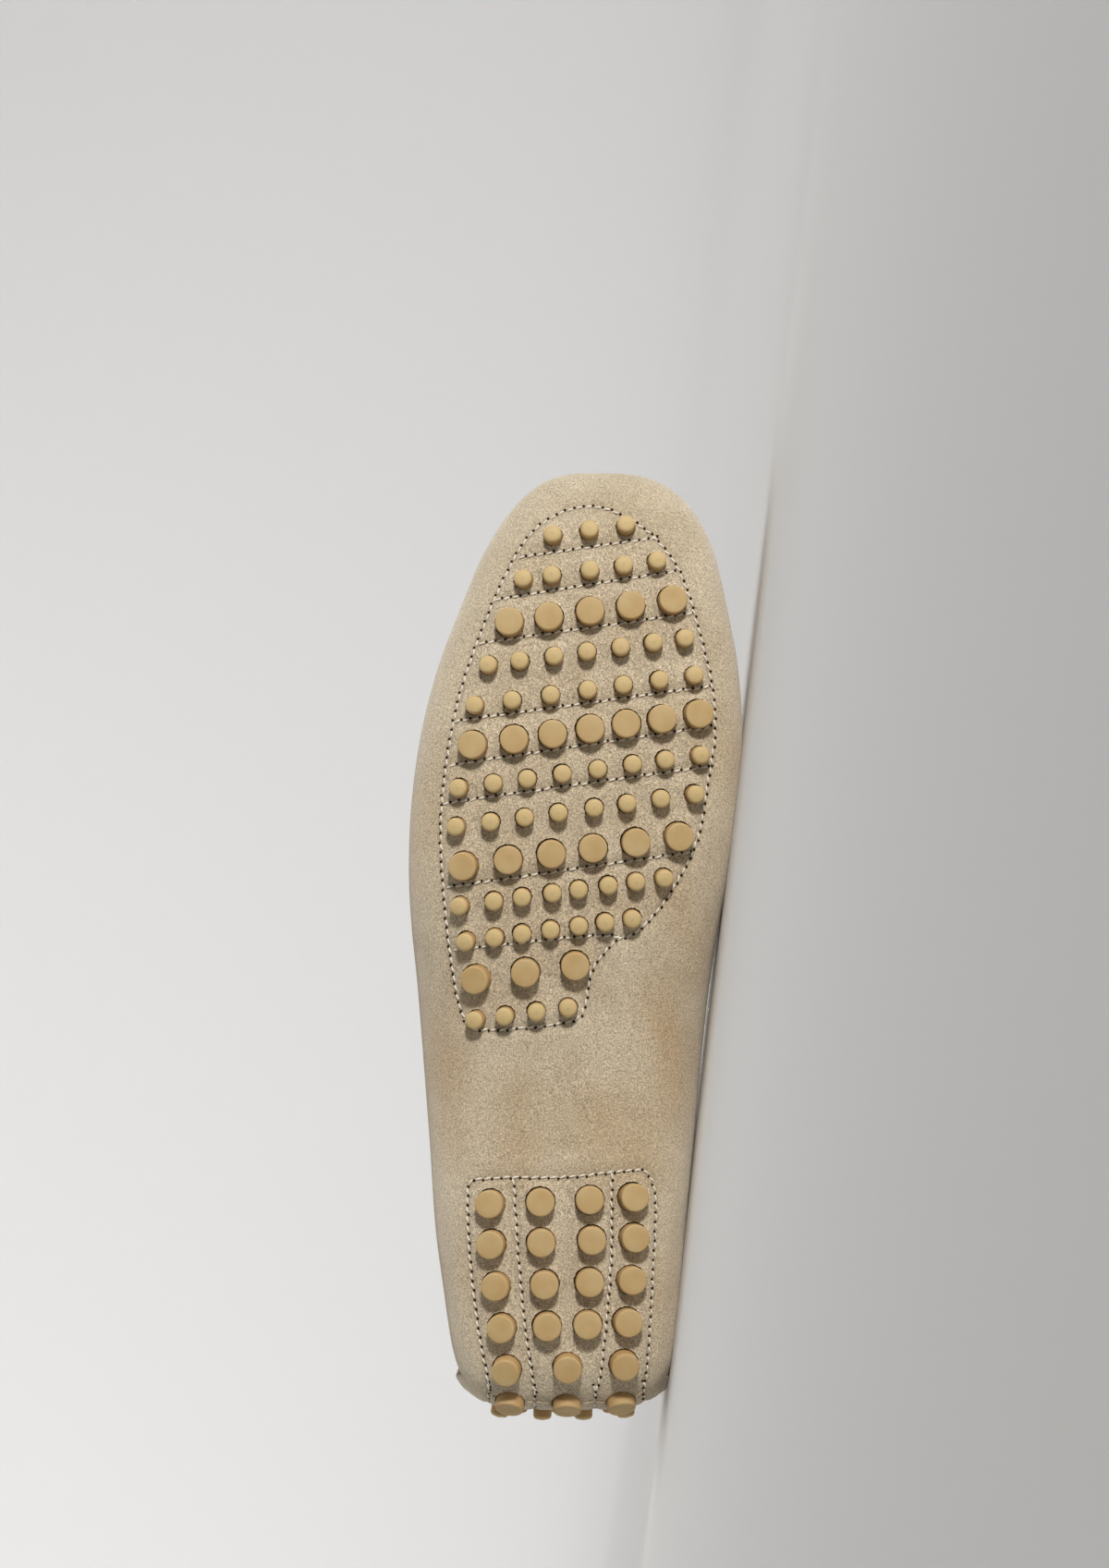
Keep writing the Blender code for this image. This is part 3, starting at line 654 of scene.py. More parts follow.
def meet_back(turn, height, y):
    """The leather behind the heel, on a line turned back from straight down."""
    start = Vector((HEEL_REACH, y, STUD_HEIGHT + height * UPPER_HEIGHT))
    angle = math.radians(turn)
    place, normal, _, _ = sole_tree.ray_cast(start, Vector((-math.sin(angle), 0, -math.cos(angle))))
    return place, normal


def row_ys(gaps, outer, inner):
    first, last = reach_share(outer), reach_share(inner)
    return [first + (last - first) * float(run) for run in np.cumsum([0.0, *gaps]) / sum(gaps)]


forefoot_studs, heel_studs = [], []
FIELDS = ((FOREFOOT_ROWS, FOREFOOT_SLANT, forefoot_studs), (HEEL_ROWS, HEEL_SLANT, heel_studs))
for rows, slant, studs in FIELDS:
    for size, gaps, at, outer, inner in rows:
        studs += [(size, *meet_sole(at + slant * y / LENGTH, y), 0.0) for y in row_ys(gaps, outer, inner)]
for size, gaps, turn, height, outer, inner, lift in BACK_ROWS:
    heel_studs += [(size, *meet_back(turn, height, y), lift) for y in row_ys(gaps, outer, inner)]
print(len(forefoot_studs), "studs in the forefoot and", len(heel_studs), "in the heel")

# %% [markdown]
# ## Where the stitch lines run
#
# Two stitched fields hold the rubber plates against the suede, and lines across them stop the leather from
# lifting between the studs. They are drawn as points on the sole and dropped onto the leather.

# %% Stitch lines
FOREFOOT_OUTLINE = [
    (0.968, 0.170), (0.950, 0.411), (0.920, 0.587), (0.881, 0.702), (0.825, 0.789), (0.773, 0.853),
    (0.720, 0.866), (0.667, 0.826), (0.614, 0.775), (0.579, 0.698), (0.538, 0.560), (0.511, 0.425),
    (0.499, 0.291), (0.472, 0.170), (0.450, 0.138), (0.427, 0.115), (0.415, 0.060), (0.407, -0.217),
    (0.404, -0.512), (0.407, -0.587), (0.415, -0.633), (0.449, -0.692), (0.514, -0.744), (0.604, -0.783),
    (0.669, -0.765), (0.750, -0.683), (0.811, -0.571), (0.876, -0.421), (0.929, -0.252), (0.957, -0.067),
]
CHANNELS = [
    [(0.912, -0.300), (0.934, 0.543)],
    [(0.866, -0.452), (0.897, 0.644)],
    [(0.819, -0.552), (0.852, 0.749)],
    [(0.735, -0.709), (0.773, 0.845)],
    [(0.688, -0.739), (0.730, 0.850)],
    [(0.647, -0.780), (0.687, 0.834)],
    [(0.557, -0.756), (0.595, 0.734)],
    [(0.490, -0.709), (0.505, 0.151), (0.503, 0.331)],
]
HEEL_OUTLINE = [
    (0.017, 0.462), (0.042, 0.484), (0.126, 0.513), (0.214, 0.532), (0.236, 0.519), (0.248, 0.485),
    (0.254, 0.425), (0.249, 0.142), (0.246, -0.067), (0.246, -0.365), (0.244, -0.542), (0.240, -0.596),
    (0.226, -0.617), (0.161, -0.602), (0.083, -0.547), (0.034, -0.494), (0.015, -0.480),
]
HEEL_CHANNELS = [
    [(0.247, -0.324), (0.193, -0.306), (0.142, -0.283), (0.092, -0.254), (0.051, -0.220), (0.017, -0.188)],
    [(0.253, 0.273), (0.205, 0.273), (0.155, 0.268), (0.105, 0.249), (0.064, 0.226), (0.029, 0.202),
     (0.014, 0.178)],
]
BACK_BOTTOM, BACK_TOP = 0.38, 0.66
BACK_TURN = 56


def curve_through(points, closed=False, step=0.0015):
    """Evenly spaced places on a smooth curve through the points."""
    pts = [np.array(p, float) for p in points]
    count = len(pts)
    out = []
    for i in range(count if closed else count - 1):
        p1, p2 = pts[i], pts[(i + 1) % count]
        p0 = pts[i - 1] if closed or i else 2 * p1 - p2
        p3 = pts[(i + 2) % count] if closed or i + 2 < count else 2 * p2 - p1
        pieces = max(2, int(np.linalg.norm(p2 - p1) / step))
        for t in np.arange(pieces) / pieces:
            out.append(0.5 * (2 * p1 + (p2 - p0) * t + (2 * p0 - 5 * p1 + 4 * p2 - p3) * t**2
                              + (3 * p1 - p0 - 3 * p2 + p3) * t**3))
    return out + ([out[0]] if closed else [pts[-1]])


def on_sole(shares, closed=False):
    flat = curve_through([(a * LENGTH, reach_share(r)) for a, r in shares], closed)
    return [np.array(meet_sole(p[0] / LENGTH, p[1])[0]) for p in flat]


def up_the_back(y):
    """A line from the heel's lower edge up its back, at one place across the shoe."""
    bend = [meet_back(t, BACK_BOTTOM, y)[0] for t in range(BACK_TURN, 91, 4)]
    rise = [meet_back(90, BACK_BOTTOM + (BACK_TOP - BACK_BOTTOM) * i / 8, y)[0] for i in range(1, 9)]
    return [np.array(p) for p in bend + rise]


heel_ends = [reach_share(HEEL_OUTLINE[0][1]), reach_share(HEEL_OUTLINE[-1][1])]
back_top = [np.array(meet_back(90, BACK_TOP, heel_ends[1] + (heel_ends[0] - heel_ends[1]) * i / 12)[0])
            for i in range(1, 12)]
heel_loop = on_sole(HEEL_OUTLINE) + up_the_back(heel_ends[1]) + back_top + up_the_back(heel_ends[0])[::-1]
stitch_lines = [on_sole(FOREFOOT_OUTLINE, closed=True), heel_loop]
stitch_lines += [on_sole(line) for line in CHANNELS]
stitch_lines += [on_sole(line) + up_the_back(reach_share(line[-1][1])) for line in HEEL_CHANNELS]
print(len(stitch_lines), "stitch lines")

# %% [markdown]
# ## Working the suede
#
# Before punching, the suede is pressed in along the stitches, pushed up a little round each stud, gathered
# at the apron seam and creased where the foot bends. Each is a small move of the points along their
# normals, largest at the feature and fading away from it.

# %% The apron seam's path, and pressing the wrap
seam_ribs = ribs_between(THROAT, TOE_POLE, 0.018, (), fan_turns(12, TOE_POWER))
seam_path = [np.array(wrap_point(rib, 2.0)) for rib in seam_ribs]
all_studs = forefoot_studs + heel_studs
PUCKER_PITCH, PUCKER_DEPTH, PUCKER_REACH = 0.0052, 0.00050, 0.0065
GROOVE, GROOVE_WIDTH = 0.00045, 0.0011
RIDGE, RIDGE_AT, RIDGE_WIDTH = 0.00018, 0.004, 0.0025
STUD_LIP, STUD_LIP_WIDTH, STUD_LIP_HEIGHT = 0.00022, 0.0012, 0.004
FLEX_CREASES = [(0.585, 0.35, 0.0008, 0.006), (0.628, 0.30, 0.0011, 0.008), (0.668, 0.35, 0.0007, 0.006)]


def bell(value, width):
    """1 where the value is 0, fading softly to 0 a few widths away."""
    return np.exp(-((value / width) ** 2))


def pucker(co):
    """Soft gathers that the seam's thread pulls into the leather, strongest round the toe."""
    distance, run = distance_to(co, seam_path)
    toe = np.clip((co[:, 0] / LENGTH - 0.60) / 0.25, 0, 1)
    wave = np.sin(2 * math.pi * run / PUCKER_PITCH)
    return PUCKER_DEPTH * toe * wave * bell(distance, PUCKER_REACH) * np.clip(distance / 0.0015, 0, 1)


def creases(co, sway, pitch, phase, fade):
    """How deep the troughs across the ball are; fade says how much of one is left, from where it starts."""
    dip = np.zeros(len(co))
    for along, low, depth, width in FLEX_CREASES:
        centre = along + sway * np.sin(co[:, 1] * pitch + along * phase)
        dip += depth * bell(co[:, 0] / LENGTH - centre, width) * fade(low)
    return dip


def press(obj):
    """Presses the stitch lines, the studs' lips, the gathers and the creases into the wrap."""
    co = places_of(obj)
    near = near_lines(co, stitch_lines)
    move = pucker(co) - GROOVE * bell(near, GROOVE_WIDTH) + RIDGE * bell(near - RIDGE_AT, RIDGE_WIDTH)
    for size, place, normal, _ in all_studs:
        offset = co - np.array(place)
        axial = offset @ np.array(normal)
        radial = np.linalg.norm(offset - axial[:, None] * np.array(normal), axis=1)
        lip = bell(np.maximum(radial - RADII[size], 0), STUD_LIP_WIDTH)
        move += STUD_LIP * lip * (np.abs(axial) < STUD_LIP_HEIGHT)
    height = (co[:, 2] - STUD_HEIGHT) / UPPER_HEIGHT
    move -= creases(co, 0.012, 90, 40, lambda low: np.clip((height - low) / 0.25, 0, 1))
    push(obj, move)
    return near


near = press(wrap)
print("pressed", int((near < 0.001).sum()), "points along the stitches")

# %% [markdown]
# Inside the stitched fields the nap is rubbed up and rough, and outside it lies smooth, with soft warm
# patches where hands have turned it. Both are kept as numbers on the points, which the suede's material
# reads. The patches are listed as a few soft round spots on the sole.

# %% Rough fields, warm patches and painted shade along the stitch lines
WARM_PATCHES = [
    (0.372, -0.78, 0.009, 0.60), (0.425, 0.55, 0.007, 0.45), (0.392, 0.62, 0.006, 0.45),
    (0.345, 0.66, 0.007, 0.55), (0.300, 0.22, 0.009, 0.45), (0.277, -0.29, 0.007, 0.40),
    (0.538, 0.66, 0.008, 0.40), (0.270, 0.45, 0.007, 0.35), (0.300, -0.72, 0.007, 0.35),
    (0.620, -0.93, 0.009, 0.30), (0.700, 0.95, 0.008, 0.25), (0.150, -0.66, 0.007, 0.25),
    (0.120, 0.60, 0.007, 0.30), (0.480, 0.80, 0.007, 0.35), (0.330, -0.30, 0.006, 0.25),
]
FIELD_EDGE = 0.003
FIELD_TOP, HEEL_END = 0.022, 0.012
WARM_TOP = 0.045
# How strong and how wide the painted shade in the stitch grooves is.
GROOVE_SHADE, GROOVE_SHADE_WIDTH = 0.30, 0.0009


def inside(co, outline):
    """Which places lie inside a closed outline, seen from below."""
    within = np.zeros(len(co), bool)
    for (ax, ay), (bx, by) in zip(outline, outline[1:] + outline[:1]):
        crosses = (co[:, 1] > ay) != (co[:, 1] > by)
        if ay != by:
            within ^= crosses & (co[:, 0] < (bx - ax) * (co[:, 1] - ay) / (by - ay) + ax)
    return within


def keep_number(obj, name, values):
    layer = obj.data.attributes.new(name, "FLOAT", "POINT")
    layer.data.foreach_set("value", np.asarray(values, np.float32))


def rub(obj, near_line):
    """Stores how rough and how warm the suede is at each point, and how much painted shade darkens its
    stitch grooves.
    """
    co = places_of(obj)
    near_edge = near_lines(co, stitch_lines[:2])
    shares = [FOREFOOT_OUTLINE, [(-0.06, 0.475), *HEEL_OUTLINE, (-0.06, -0.488)]]
    low = co[:, 2] < STUD_HEIGHT + BACK_TOP * UPPER_HEIGHT
    field = np.zeros(len(co), bool)
    for outline in shares:
        field |= inside(co, [(a * LENGTH, reach_share(r)) for a, r in outline])
    field &= low & ((co[:, 2] < FIELD_TOP) | (co[:, 0] < HEEL_END))
    soft = np.clip(near_edge / FIELD_EDGE, 0, 0.5)
    keep_number(obj, "field", np.where(field, 0.5 + soft, 0.5 - soft))
    warm = np.zeros(len(co))
    for along, share, radius, strength in WARM_PATCHES:
        offset = co[:, :2] - np.array([along * LENGTH, reach_share(share)])
        offset[:, 0] *= 0.6
        warm += strength * bell(np.linalg.norm(offset, axis=1), radius)
    keep_number(obj, "warm", warm * (co[:, 2] < WARM_TOP))
    # The pressed number holds painted shade for the stitch grooves, strongest on the lines.
    keep_number(obj, "pressed", GROOVE_SHADE * bell(near_line, GROOVE_SHADE_WIDTH))


rub(wrap, near)

# %% [markdown]
# ## Punching the holes
#
# The real holes are punched a little wider than the studs and never quite true to them, so a thin dark
# line shows round most of them. A round punch for each stud, a fraction off its centre, is taken out of the
# finished leather with a Boolean, which leaves a raw edge, a little ragged, at any mesh density.

# %% Punches and a helper that stands shapes on the leather
def facing(place, normal, forward=Vector((1, 0, 0))):
    """The matrix that stands a shape on a place, with its Z along the normal and its X near forward."""
    z = Vector(normal).normalized()
    x = (forward - z * forward.dot(z)).normalized()
    return Matrix.Translation(place) @ Matrix((x, z.cross(x), z)).transposed().to_4x4()


def copies(shape, matrices):
    """Copies of a shape, each with its own mesh, moved by the matrices."""
    made = []
    for matrix in matrices:
        copy = shape.copy()
        copy.data = shape.data.copy()
        copy.data.transform(matrix)
        bpy.context.scene.collection.objects.link(copy)
        made.append(copy)
    return made


def ragged(turn):
    """How far a punch's edge stands out at a turn round it."""
    return 0.00007 * math.sin(11 * turn) + 0.00006 * math.sin(17 * turn + 1)


def stray(i):
    """How far a punch is off its stud's centre."""
    return Vector((0.00016 + 0.00010 * math.sin(i * 2.1), -0.00010 + 0.00012 * math.sin(i * 3.7), 0))


def punch(obj, studs):
    """Cuts a hole for each stud through a closed sheet of leather."""
    low, high = -2 * WALL, WALL
    punches = []
    for size in RADII:
        radius = RADII[size] + HOLE_CLEARANCE
        bpy.ops.mesh.primitive_cylinder_add(vertices=40, radius=radius, depth=high - low)
        cutter = bpy.context.object
        for vertex in cutter.data.vertices:
            vertex.co.xy *= 1 + ragged(math.atan2(vertex.co.y, vertex.co.x)) / radius
        cutter.data.transform(Matrix.Translation((0, 0, (high + low) / 2)))
        coat(cutter, raw_edge)
        matrices = [facing(place + stray(i), normal) @ Matrix.Rotation(i * 1.3, 4, "Z")
                    for i, (kind, place, normal, _) in enumerate(studs) if kind == size]
        punches += copies(cutter, matrices)
        bpy.data.objects.remove(cutter)
    cutters = joined("punches", punches)
    apply_modifier(obj, "BOOLEAN", object=cutters, operation="DIFFERENCE", solver="MANIFOLD",
                   material_mode="TRANSFER")
    bpy.data.objects.remove(cutters)
    only(obj)
    bpy.ops.object.shade_smooth_by_angle(angle=math.radians(40))


coat(wrap, suede, lining, raw_edge)
apply_modifier(wrap, "SOLIDIFY", thickness=WALL, offset=-1, material_offset=1, material_offset_rim=2)
whole = len(wrap.data.polygons)
punch(wrap, all_studs)
print("wrap:", whole, "faces whole,", len(wrap.data.polygons), "punched")

# %% [markdown]
# ## The heel flap
#
# Behind the heel the sole's suede folds up over the sides' ends as a flap with raw edges. It is a patch of
# its own, a little proud of the wrap, whose lower rows sink into the fold.

# %% The flap
FLAP_SHEET, FLAP_SUNK = 0.0011, 0.0004
CORNER_FROM, CORNER_WIDTH, CORNER_START = 0.021, 0.009, 0.010
CORNER_LIFT, CORNER_FRAY = 0.0009, 0.0004
FLAP_TURNS = (29, 33, 37, 41, 45, 50, 56, 62, 69, 76, 83, 90)
flap_places = [0.66, 0.74, 0.82, 0.91, 1.0, 1.1, 1.2, 1.3, 1.4, 1.5, 1.6, 1.64]
flap = skin("heel_flap", ribs_round_back(FLAP_TURNS, HEEL_POLE, 0), flap_places, BACKWARD, 3)
co = places_of(flap)
corner = np.clip((np.abs(co[:, 1]) - CORNER_FROM) / CORNER_WIDTH, 0, 1)
rise = np.clip((co[:, 2] - underside(0) - CORNER_START * corner) / (UPPER_HEIGHT * 0.20), 0, 1)
near = near_lines(co, stitch_lines)
lift = -FLAP_SUNK + (FLAP_THICKNESS + FLAP_SUNK) * rise - GROOVE * bell(near, GROOVE_WIDTH)
lift += CORNER_LIFT * corner**3 * rise
co += places_of(flap, "normal") * lift[:, None]
fray = np.sin(co[:, 2] * 2300) * np.sin(co[:, 2] * 5100 + 1)
co[:, 0] += CORNER_FRAY * fray * corner**4
rub(flap, near)
set_places(flap, co)
coat(flap, suede, raw_edge)
apply_modifier(flap, "SOLIDIFY", thickness=FLAP_SHEET, offset=-1, material_offset=0, material_offset_rim=1)
punch(flap, heel_studs)
print("flap:", len(flap.data.polygons), "faces")

# %% [markdown]
# ## The apron and its raised seam
#
# The apron lies over the toes, and its edge and the wrap's are sewn together standing up. The bead is a
# round tube along the seam, pinched at each stitch. The same kind of tube binds the collar.

# %% The apron
apron_shares = [1.0, 0.96, 0.9, 0.82, 0.73, 0.63, 0.52, 0.40, 0.28, 0.15, 0.0]
apron = skin("suede_apron", seam_ribs, apron_shares, UP, 2, point=apron_point)
co = places_of(apron)
push(apron, pucker(co) - creases(co, 0.010, 70, 50, lambda low: 0.8))
coat(apron, suede, lining, raw_edge)
apply_modifier(apron, "SOLIDIFY", thickness=WALL, offset=-1, material_offset=1, material_offset_rim=2)
print("apron:", len(apron.data.polygons), "faces")


# %% Tubes along a path
TUBE_SIDES = 12
BEAD_RADIUS, BINDING_RADIUS = 0.0019, 0.0021
COLLAR_PLACE = 1.985


def tube(name, path, radius, swell=None):
    """A grid primitive rolled up along a path: each of its rows becomes a ring round the path."""
    path = [Vector(p) for p in path]
    rings = len(path)
    bpy.ops.mesh.primitive_grid_add(x_subdivisions=TUBE_SIDES, y_subdivisions=rings - 1, size=1)
    obj = bpy.context.object
    obj.name = name
    frames = []
    for i, p in enumerate(path):
        tangent = (path[min(i + 1, rings - 1)] - path[max(i - 1, 0)]).normalized()
        outward = sole_tree.find_nearest(p)[1]
        normal = (outward - tangent * outward.dot(tangent)).normalized()
        frames.append((p, normal, tangent.cross(normal)))
    for vertex in obj.data.vertices:
        ring = round((vertex.co.y + 0.5) * (rings - 1))
        angle = 2 * math.pi * (vertex.co.x + 0.5)
        p, normal, side = frames[ring]
        r = radius * (swell(ring) if swell else 1.0)
        vertex.co = p + normal * math.sin(angle) * r + side * math.cos(angle) * r
    with edit_mode(obj, "SELECT"):
        bpy.ops.mesh.remove_doubles(threshold=SAME_PLACE)
        bpy.ops.mesh.normals_make_consistent(inside=False)
        bpy.ops.mesh.select_all(action="DESELECT")
        bpy.ops.mesh.select_non_manifold()
        bpy.ops.mesh.edge_face_add()
        bpy.ops.mesh.select_all(action="SELECT")
        bpy.ops.mesh.normals_make_consistent(inside=False)
    obj.data.shade_smooth()
    coat(obj, suede)
    return obj


# %% The seam's bead and the collar's binding
bead_path = curve_through(seam_path, step=0.0009)
bead_run = np.cumsum([0.0] + [float(np.linalg.norm(b - a)) for a, b in zip(bead_path[:-1], bead_path[1:])])


def bead_swell(ring):
    wave = abs(math.sin(math.pi * bead_run[ring] / PUCKER_PITCH))
    end = min(1.0, ring / 8, (len(bead_path) - 1 - ring) / 8)
    return (0.82 + 0.24 * wave) * (0.4 + 0.6 * end)


bead = tube("apron_seam_bead", bead_path, BEAD_RADIUS, bead_swell)

collar_ribs = ribs_round_back(HEEL_TURNS[1::2], THROAT, 22)
collar_path = [np.array(wrap_point(rib, COLLAR_PLACE)) for rib in collar_ribs]
for share in (-0.9, -0.75, -0.6, -0.4, -0.2, 0.0, 0.2, 0.4, 0.6, 0.75, 0.9):
    collar_path.append(np.array(apron_point(make_rib(THROAT, 1 if share > 0 else -1), abs(share))))
binding = tube("collar_binding", curve_through(collar_path + collar_path[:1], step=0.0025), BINDING_RADIUS)
print("bead", len(bead.data.polygons), "faces, binding", len(binding.data.polygons), "faces")

# %% [markdown]
# ## The rubber studs
#
# Two studs are modelled, a large flat one and a small domed one, each from a cylinder that is a little
# narrower at its top, where its edge is bevelled. Copies are turned to face out of the leather and joined,
# one piece for the forefoot and one for the heel, each with the rubber plate that its studs grow from.

# %% One stud of each size
TAPER = 0.965
FACE_DIP = 0.00005


def stud_shape(name, radius, rounding, crown, pale):
    """A stud standing on the origin, with a rounded rim and a faintly crowned face."""
    foot = -WALL - FIT_GAP - PLATE / 2
    bpy.ops.mesh.primitive_cylinder_add(vertices=24, radius=radius, depth=STUD_HEIGHT - foot)
    obj = bpy.context.object
    obj.name = name
    obj.data.transform(Matrix.Translation((0, 0, (STUD_HEIGHT + foot) / 2)))
    obj.matrix_world = Matrix.Identity(4)
    choose(obj, "FACE", lambda face: face.normal.z > 0.9)
    with edit_mode(obj):
        bpy.ops.transform.resize(value=(TAPER, TAPER, 1))
        bpy.ops.mesh.bevel(offset=rounding, segments=4, affect="EDGES")
    choose(obj, "FACE", lambda face: face.normal.z > 0.99)
    with edit_mode(obj):
        bpy.ops.mesh.inset(thickness=radius * 0.42)
        bpy.ops.transform.translate(value=(0, 0, crown))
        bpy.ops.mesh.inset(thickness=radius * 0.22)
        bpy.ops.transform.translate(value=(0, 0, -FACE_DIP))
    obj.data.shade_smooth()
    obj.data.set_sharp_from_angle(angle=math.radians(50))
    coat(obj, rubber)
    height = places_of(obj)[:, 2]
    # The side number marks the wall below the rounded rim, where the rubber paints shade.
    keep_number(obj, "side", np.clip((STUD_HEIGHT - rounding * 0.7 - height) / 0.0006, 0, 1))
    keep_number(obj, "pale", np.full(len(height), pale))
    return obj


shapes = {
    "large": stud_shape("large_stud", LARGE_RADIUS, rounding=0.00060, crown=0.00006, pale=0.0),
    "small": stud_shape("small_stud", SMALL_RADIUS, rounding=0.00120, crown=0.00028, pale=1.0),
}


# %% The plates and their studs
def rubber_piece(name, studs, places, keep):
    """A plate inside the wrap, cut to where keep is true, joined with its studs."""
    plate = skin(name, plate_ribs, places, DOWN, 1, closed=True)
    outside = ~keep(places_of(plate))
    push(plate, -(WALL + FIT_GAP))
    choose(plate, "VERT", lambda vertex: outside[vertex.index])
    with edit_mode(plate):
        bpy.ops.mesh.delete(type="VERT")
    apply_modifier(plate, "SOLIDIFY", thickness=PLATE, offset=-1)
    coat(plate, rubber)
    # The whole plate takes the painted side shade.
    keep_number(plate, "side", np.ones(len(plate.data.vertices)))
    keep_number(plate, "pale", np.zeros(len(plate.data.vertices)))
    made = [plate]
    for size, shape in shapes.items():
        made += copies(shape, [facing(p + n * lift, n) for kind, p, n, lift in studs if kind == size])
    return joined(name, made)


FOREFOOT_PLATE_START, FOREFOOT_PLATE_RISE = 0.400 * LENGTH, 0.0125
HEEL_PLATE_END, HEEL_PLATE_HALF = 0.250 * LENGTH, 0.028
HEEL_PLATE_TOP = STUD_HEIGHT + 0.68 * UPPER_HEIGHT


def inside_forefoot(co):
    return (co[:, 0] > FOREFOOT_PLATE_START) & (co[:, 2] < FOREFOOT_PLATE_RISE + STUD_HEIGHT)


def inside_heel(co):
    return (co[:, 0] < HEEL_PLATE_END) & (np.abs(co[:, 1]) < HEEL_PLATE_HALF) & (co[:, 2] < HEEL_PLATE_TOP)


plate_fans = fan_turns(9, HEEL_POWER), fan_turns(10, TOE_POWER)
plate_ribs = ribs_between(HEEL_POLE, TOE_POLE, 0.025, *plate_fans)[:-1]
plate_places = [0, 0.1, 0.25, 0.4, 0.55, 0.68, 0.8, 0.9, 1.0, 1.15, 1.3, 1.45, 1.6, 1.75]
forefoot_rubber = rubber_piece("forefoot_studs", forefoot_studs, plate_places[:6], inside_forefoot)
heel_rubber = rubber_piece("heel_studs", heel_studs, plate_places, inside_heel)
for shape in shapes.values():
    bpy.data.objects.remove(shape)
print("rubber:", len(forefoot_rubber.data.polygons), "and", len(heel_rubber.data.polygons), "faces")

# %% [markdown]
# ## The stitches
#
# Each stitch is a short piece of thread that comes out of one needle hole and dives into the next. One is
# modelled, a bent and tapered rod with a dark disc at its end, painted shade for the needle hole, and it is
# copied along every line.

# %% One stitch
STITCH_PITCH = 0.0029
STITCH_LENGTH = 0.0022
STITCH_BOW = 0.00035
STITCH_SLANT, STITCH_WOBBLE = 0.22, 0.10
STITCH_LIFT = 0.00012
THREAD_RADIUS = 0.00031
NEEDLE_RADIUS, NEEDLE_DEPTH = 0.00042, 0.0005

bpy.ops.mesh.primitive_cylinder_add(vertices=6, radius=THREAD_RADIUS, depth=STITCH_LENGTH)
rod = bpy.context.object
rod.data.transform(Matrix.Rotation(math.pi / 2, 4, "Y"))
with edit_mode(rod):
    for cut in (-STITCH_LENGTH / 4, 0, STITCH_LENGTH / 4):
        bpy.ops.mesh.select_all(action="SELECT")
        bpy.ops.mesh.bisect(plane_co=(cut, 0, 0), plane_no=(1, 0, 0))
for vertex in rod.data.vertices:
    end = abs(vertex.co.x) / (STITCH_LENGTH / 2)
    vertex.co.y *= 1 - 0.45 * end**3
    vertex.co.z = vertex.co.z * (1 - 0.3 * end**2) + STITCH_BOW * (1 - end**2) - 0.6 * STITCH_BOW
coat(rod, cream_thread)
rod.data.shade_smooth()

# The dark disc sunk at the stitch's end is painted shade for the needle hole.
bpy.ops.mesh.primitive_cylinder_add(vertices=8, radius=NEEDLE_RADIUS, depth=NEEDLE_DEPTH)
hole = bpy.context.object
hole.data.transform(Matrix.Translation((STITCH_PITCH / 2, 0, -STITCH_LIFT)))
coat(hole, needle_shade.material)
sole_stitch = joined("sole_stitch", [rod, hole])
print("one stitch has", len(sole_stitch.data.polygons), "faces")


# %% Sew every line
def along_line(line, pitch):
    """Evenly spaced (place, tangent) along a line of points."""
    pts = np.array(line)
    steps = np.linalg.norm(np.diff(pts, axis=0), axis=1)
    run = np.concatenate([[0], np.cumsum(steps)])
    count = max(1, round(run[-1] / pitch))
    for i in range(count):
        s = (i + 0.5) * run[-1] / count
        p = np.array([np.interp(s, run, pts[:, k]) for k in range(3)])
        a = np.array([np.interp(max(s - 0.001, 0), run, pts[:, k]) for k in range(3)])
        b = np.array([np.interp(min(s + 0.001, run[-1]), run, pts[:, k]) for k in range(3)])
        yield Vector(p), Vector(b - a).normalized()


FLAP_NEAR, FLAP_START = 0.003, 0.012
surface = tree_of(wrap)
flap_surface = tree_of(flap)


def sew(line):
    """Stitches along a line, each lying in the pressed suede and turned a little."""
    matrices = []
    for i, (place, tangent) in enumerate(along_line(line, STITCH_PITCH)):
        hit = surface.find_nearest(place)[0]
        flap_hit = flap_surface.find_nearest(place)[0]
        if (flap_hit - place).length < FLAP_NEAR and place.z > FLAP_START:
            hit = flap_hit
        smooth_normal = sole_tree.find_nearest(place)[1]
        slant = Matrix.Rotation(STITCH_SLANT + STITCH_WOBBLE * math.sin(i * 2.4), 3, smooth_normal)
        matrices.append(facing(hit + smooth_normal * STITCH_LIFT, smooth_normal, slant @ tangent))
    return copies(sole_stitch, matrices)


threads = [stitch for line in stitch_lines for stitch in sew(line)]
bpy.data.objects.remove(sole_stitch)
sole_stitches = joined("sole_stitches", threads)
print("sewn:", len(threads), "stitches,", len(sole_stitches.data.polygons), "faces")

# %% [markdown]
# Round the apron's bead the thread is thicker and makes a slanting ring at each pinch.

# %% The seam's overcast stitches
HOOP_RADIUS, HOOP_THREAD, HOOP_SLANT = 0.00175, 0.00042, 0.35

bpy.ops.mesh.primitive_torus_add(major_radius=HOOP_RADIUS, minor_radius=HOOP_THREAD, major_segments=18,
                                 minor_segments=6, rotation=(0, math.pi / 2, 0))
hoop = bpy.context.object
only(hoop)
bpy.ops.object.transform_apply(location=True, rotation=True, scale=True)
coat(hoop, seam_thread)
hoop.data.shade_smooth()
matrices = []
for place, tangent in along_line(bead_path, PUCKER_PITCH):
    normal = sole_tree.find_nearest(place)[1]
    matrices.append(facing(place, normal, Matrix.Rotation(HOOP_SLANT, 3, normal) @ tangent))
apron_stitches = joined("apron_stitches", copies(hoop, matrices))
bpy.data.objects.remove(hoop)

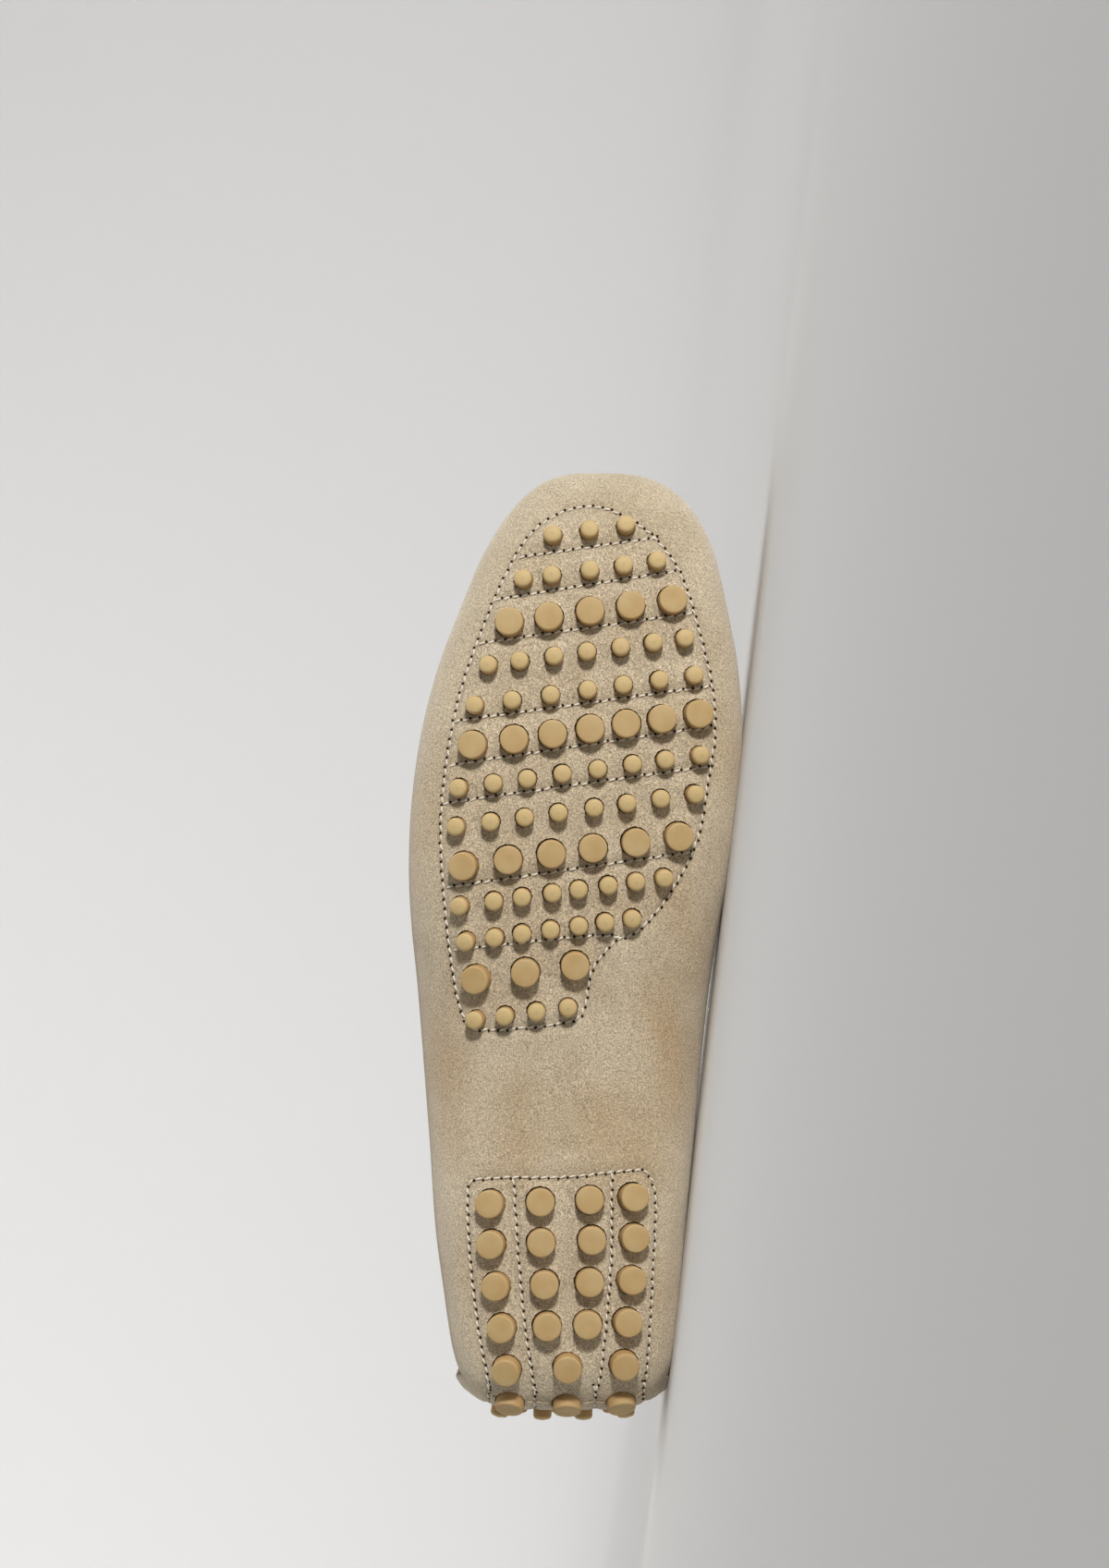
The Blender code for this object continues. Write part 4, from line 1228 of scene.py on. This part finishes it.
# %% [markdown]
# ## The sock inside
#
# The sock is a leather sheet on a thin pad, made here as one thick sheet cut to the inside of the shoe.
# It covers both rubber plates.

# %% The sock
SOCK_SHEET, SOCK_ROUNDING = SOCK - 0.0004, 0.0006
sock_places = [0, 0.06, 0.12, 0.2, 0.3, 0.4, 0.5, 0.6, 0.67, 0.73]
sock = skin("sock", plate_ribs, sock_places, DOWN, 1, closed=True)
push(sock, -(WALL + 2 * FIT_GAP + PLATE))
face_along(sock, UP)
apply_modifier(sock, "SOLIDIFY", thickness=SOCK_SHEET, offset=1)
apply_modifier(sock, "BEVEL", width=SOCK_ROUNDING, segments=2, limit_method="ANGLE",
               angle_limit=math.radians(50))
sock.data.shade_smooth()
coat(sock, sock_leather)
print("sock:", len(sock.data.polygons), "faces")

# %% [markdown]
# A thin leather lining hugs the heel from the sock to the collar. It lies on the wrap and is lifted softly
# over the rubber plate, so that the plate's edges don't show inside.

# %% The heel's lining
LINING_END = 0.36
LINING_SHEET, LINING_GAP = 0.0006, 0.00015
PLATE_MARGIN, PLATE_SLOPE = 0.004, 0.003

lining_ribs = ribs_round_back(fan_turns(18, HEEL_POWER), LINING_END, 9)
lining_places = [0.50, 0.58, 0.66, 0.74, 0.82, 0.90, *np.linspace(1, 1.96, 15)]
heel_lining = skin("heel_lining", lining_ribs, lining_places, BACKWARD, 1)
co = places_of(heel_lining)
over = np.ones(len(co))
plate_ends = (HEEL_PLATE_END, HEEL_PLATE_HALF, HEEL_PLATE_TOP)
for end, value in zip(plate_ends, (co[:, 0], np.abs(co[:, 1]), co[:, 2])):
    over *= np.clip((end + PLATE_MARGIN - value) / PLATE_SLOPE, 0, 1)
push(heel_lining, -(WALL + LINING_GAP + over * (PLATE + 2 * FIT_GAP)))
coat(heel_lining, lining)
apply_modifier(heel_lining, "SOLIDIFY", thickness=LINING_SHEET, offset=-1)
print("lining:", len(heel_lining.data.polygons), "faces")

# %% [markdown]
# ## Laying the shoe down
#
# The pieces are turned together onto the shoe's side, and each is tied to the solid model: it rides on the
# shoe's one body, and the solid that it stands for is hidden.

# %% Place the pieces
PIECES = [
    (wrap, "upper", "suede"), (flap, "upper", "suede"), (apron, "upper", "suede"), (bead, "upper", "suede"),
    (binding, "upper", "suede"), (sole_stitches, "upper", "suede"), (apron_stitches, "upper", "suede"),
    (forefoot_rubber, "forefoot_tread", "gum_rubber"), (heel_rubber, "heel_tread", "gum_rubber"),
    (heel_lining, "upper", "sock_leather"), (sock, "insole", "sock_leather"),
]
for piece, node, finish in PIECES:
    piece.matrix_world = Matrix.Identity(4)
    set_places(piece, settled(places_of(piece)))
    piece.data.transform(pose)
    piece.data.update()
    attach(piece, "root")
    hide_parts(node)
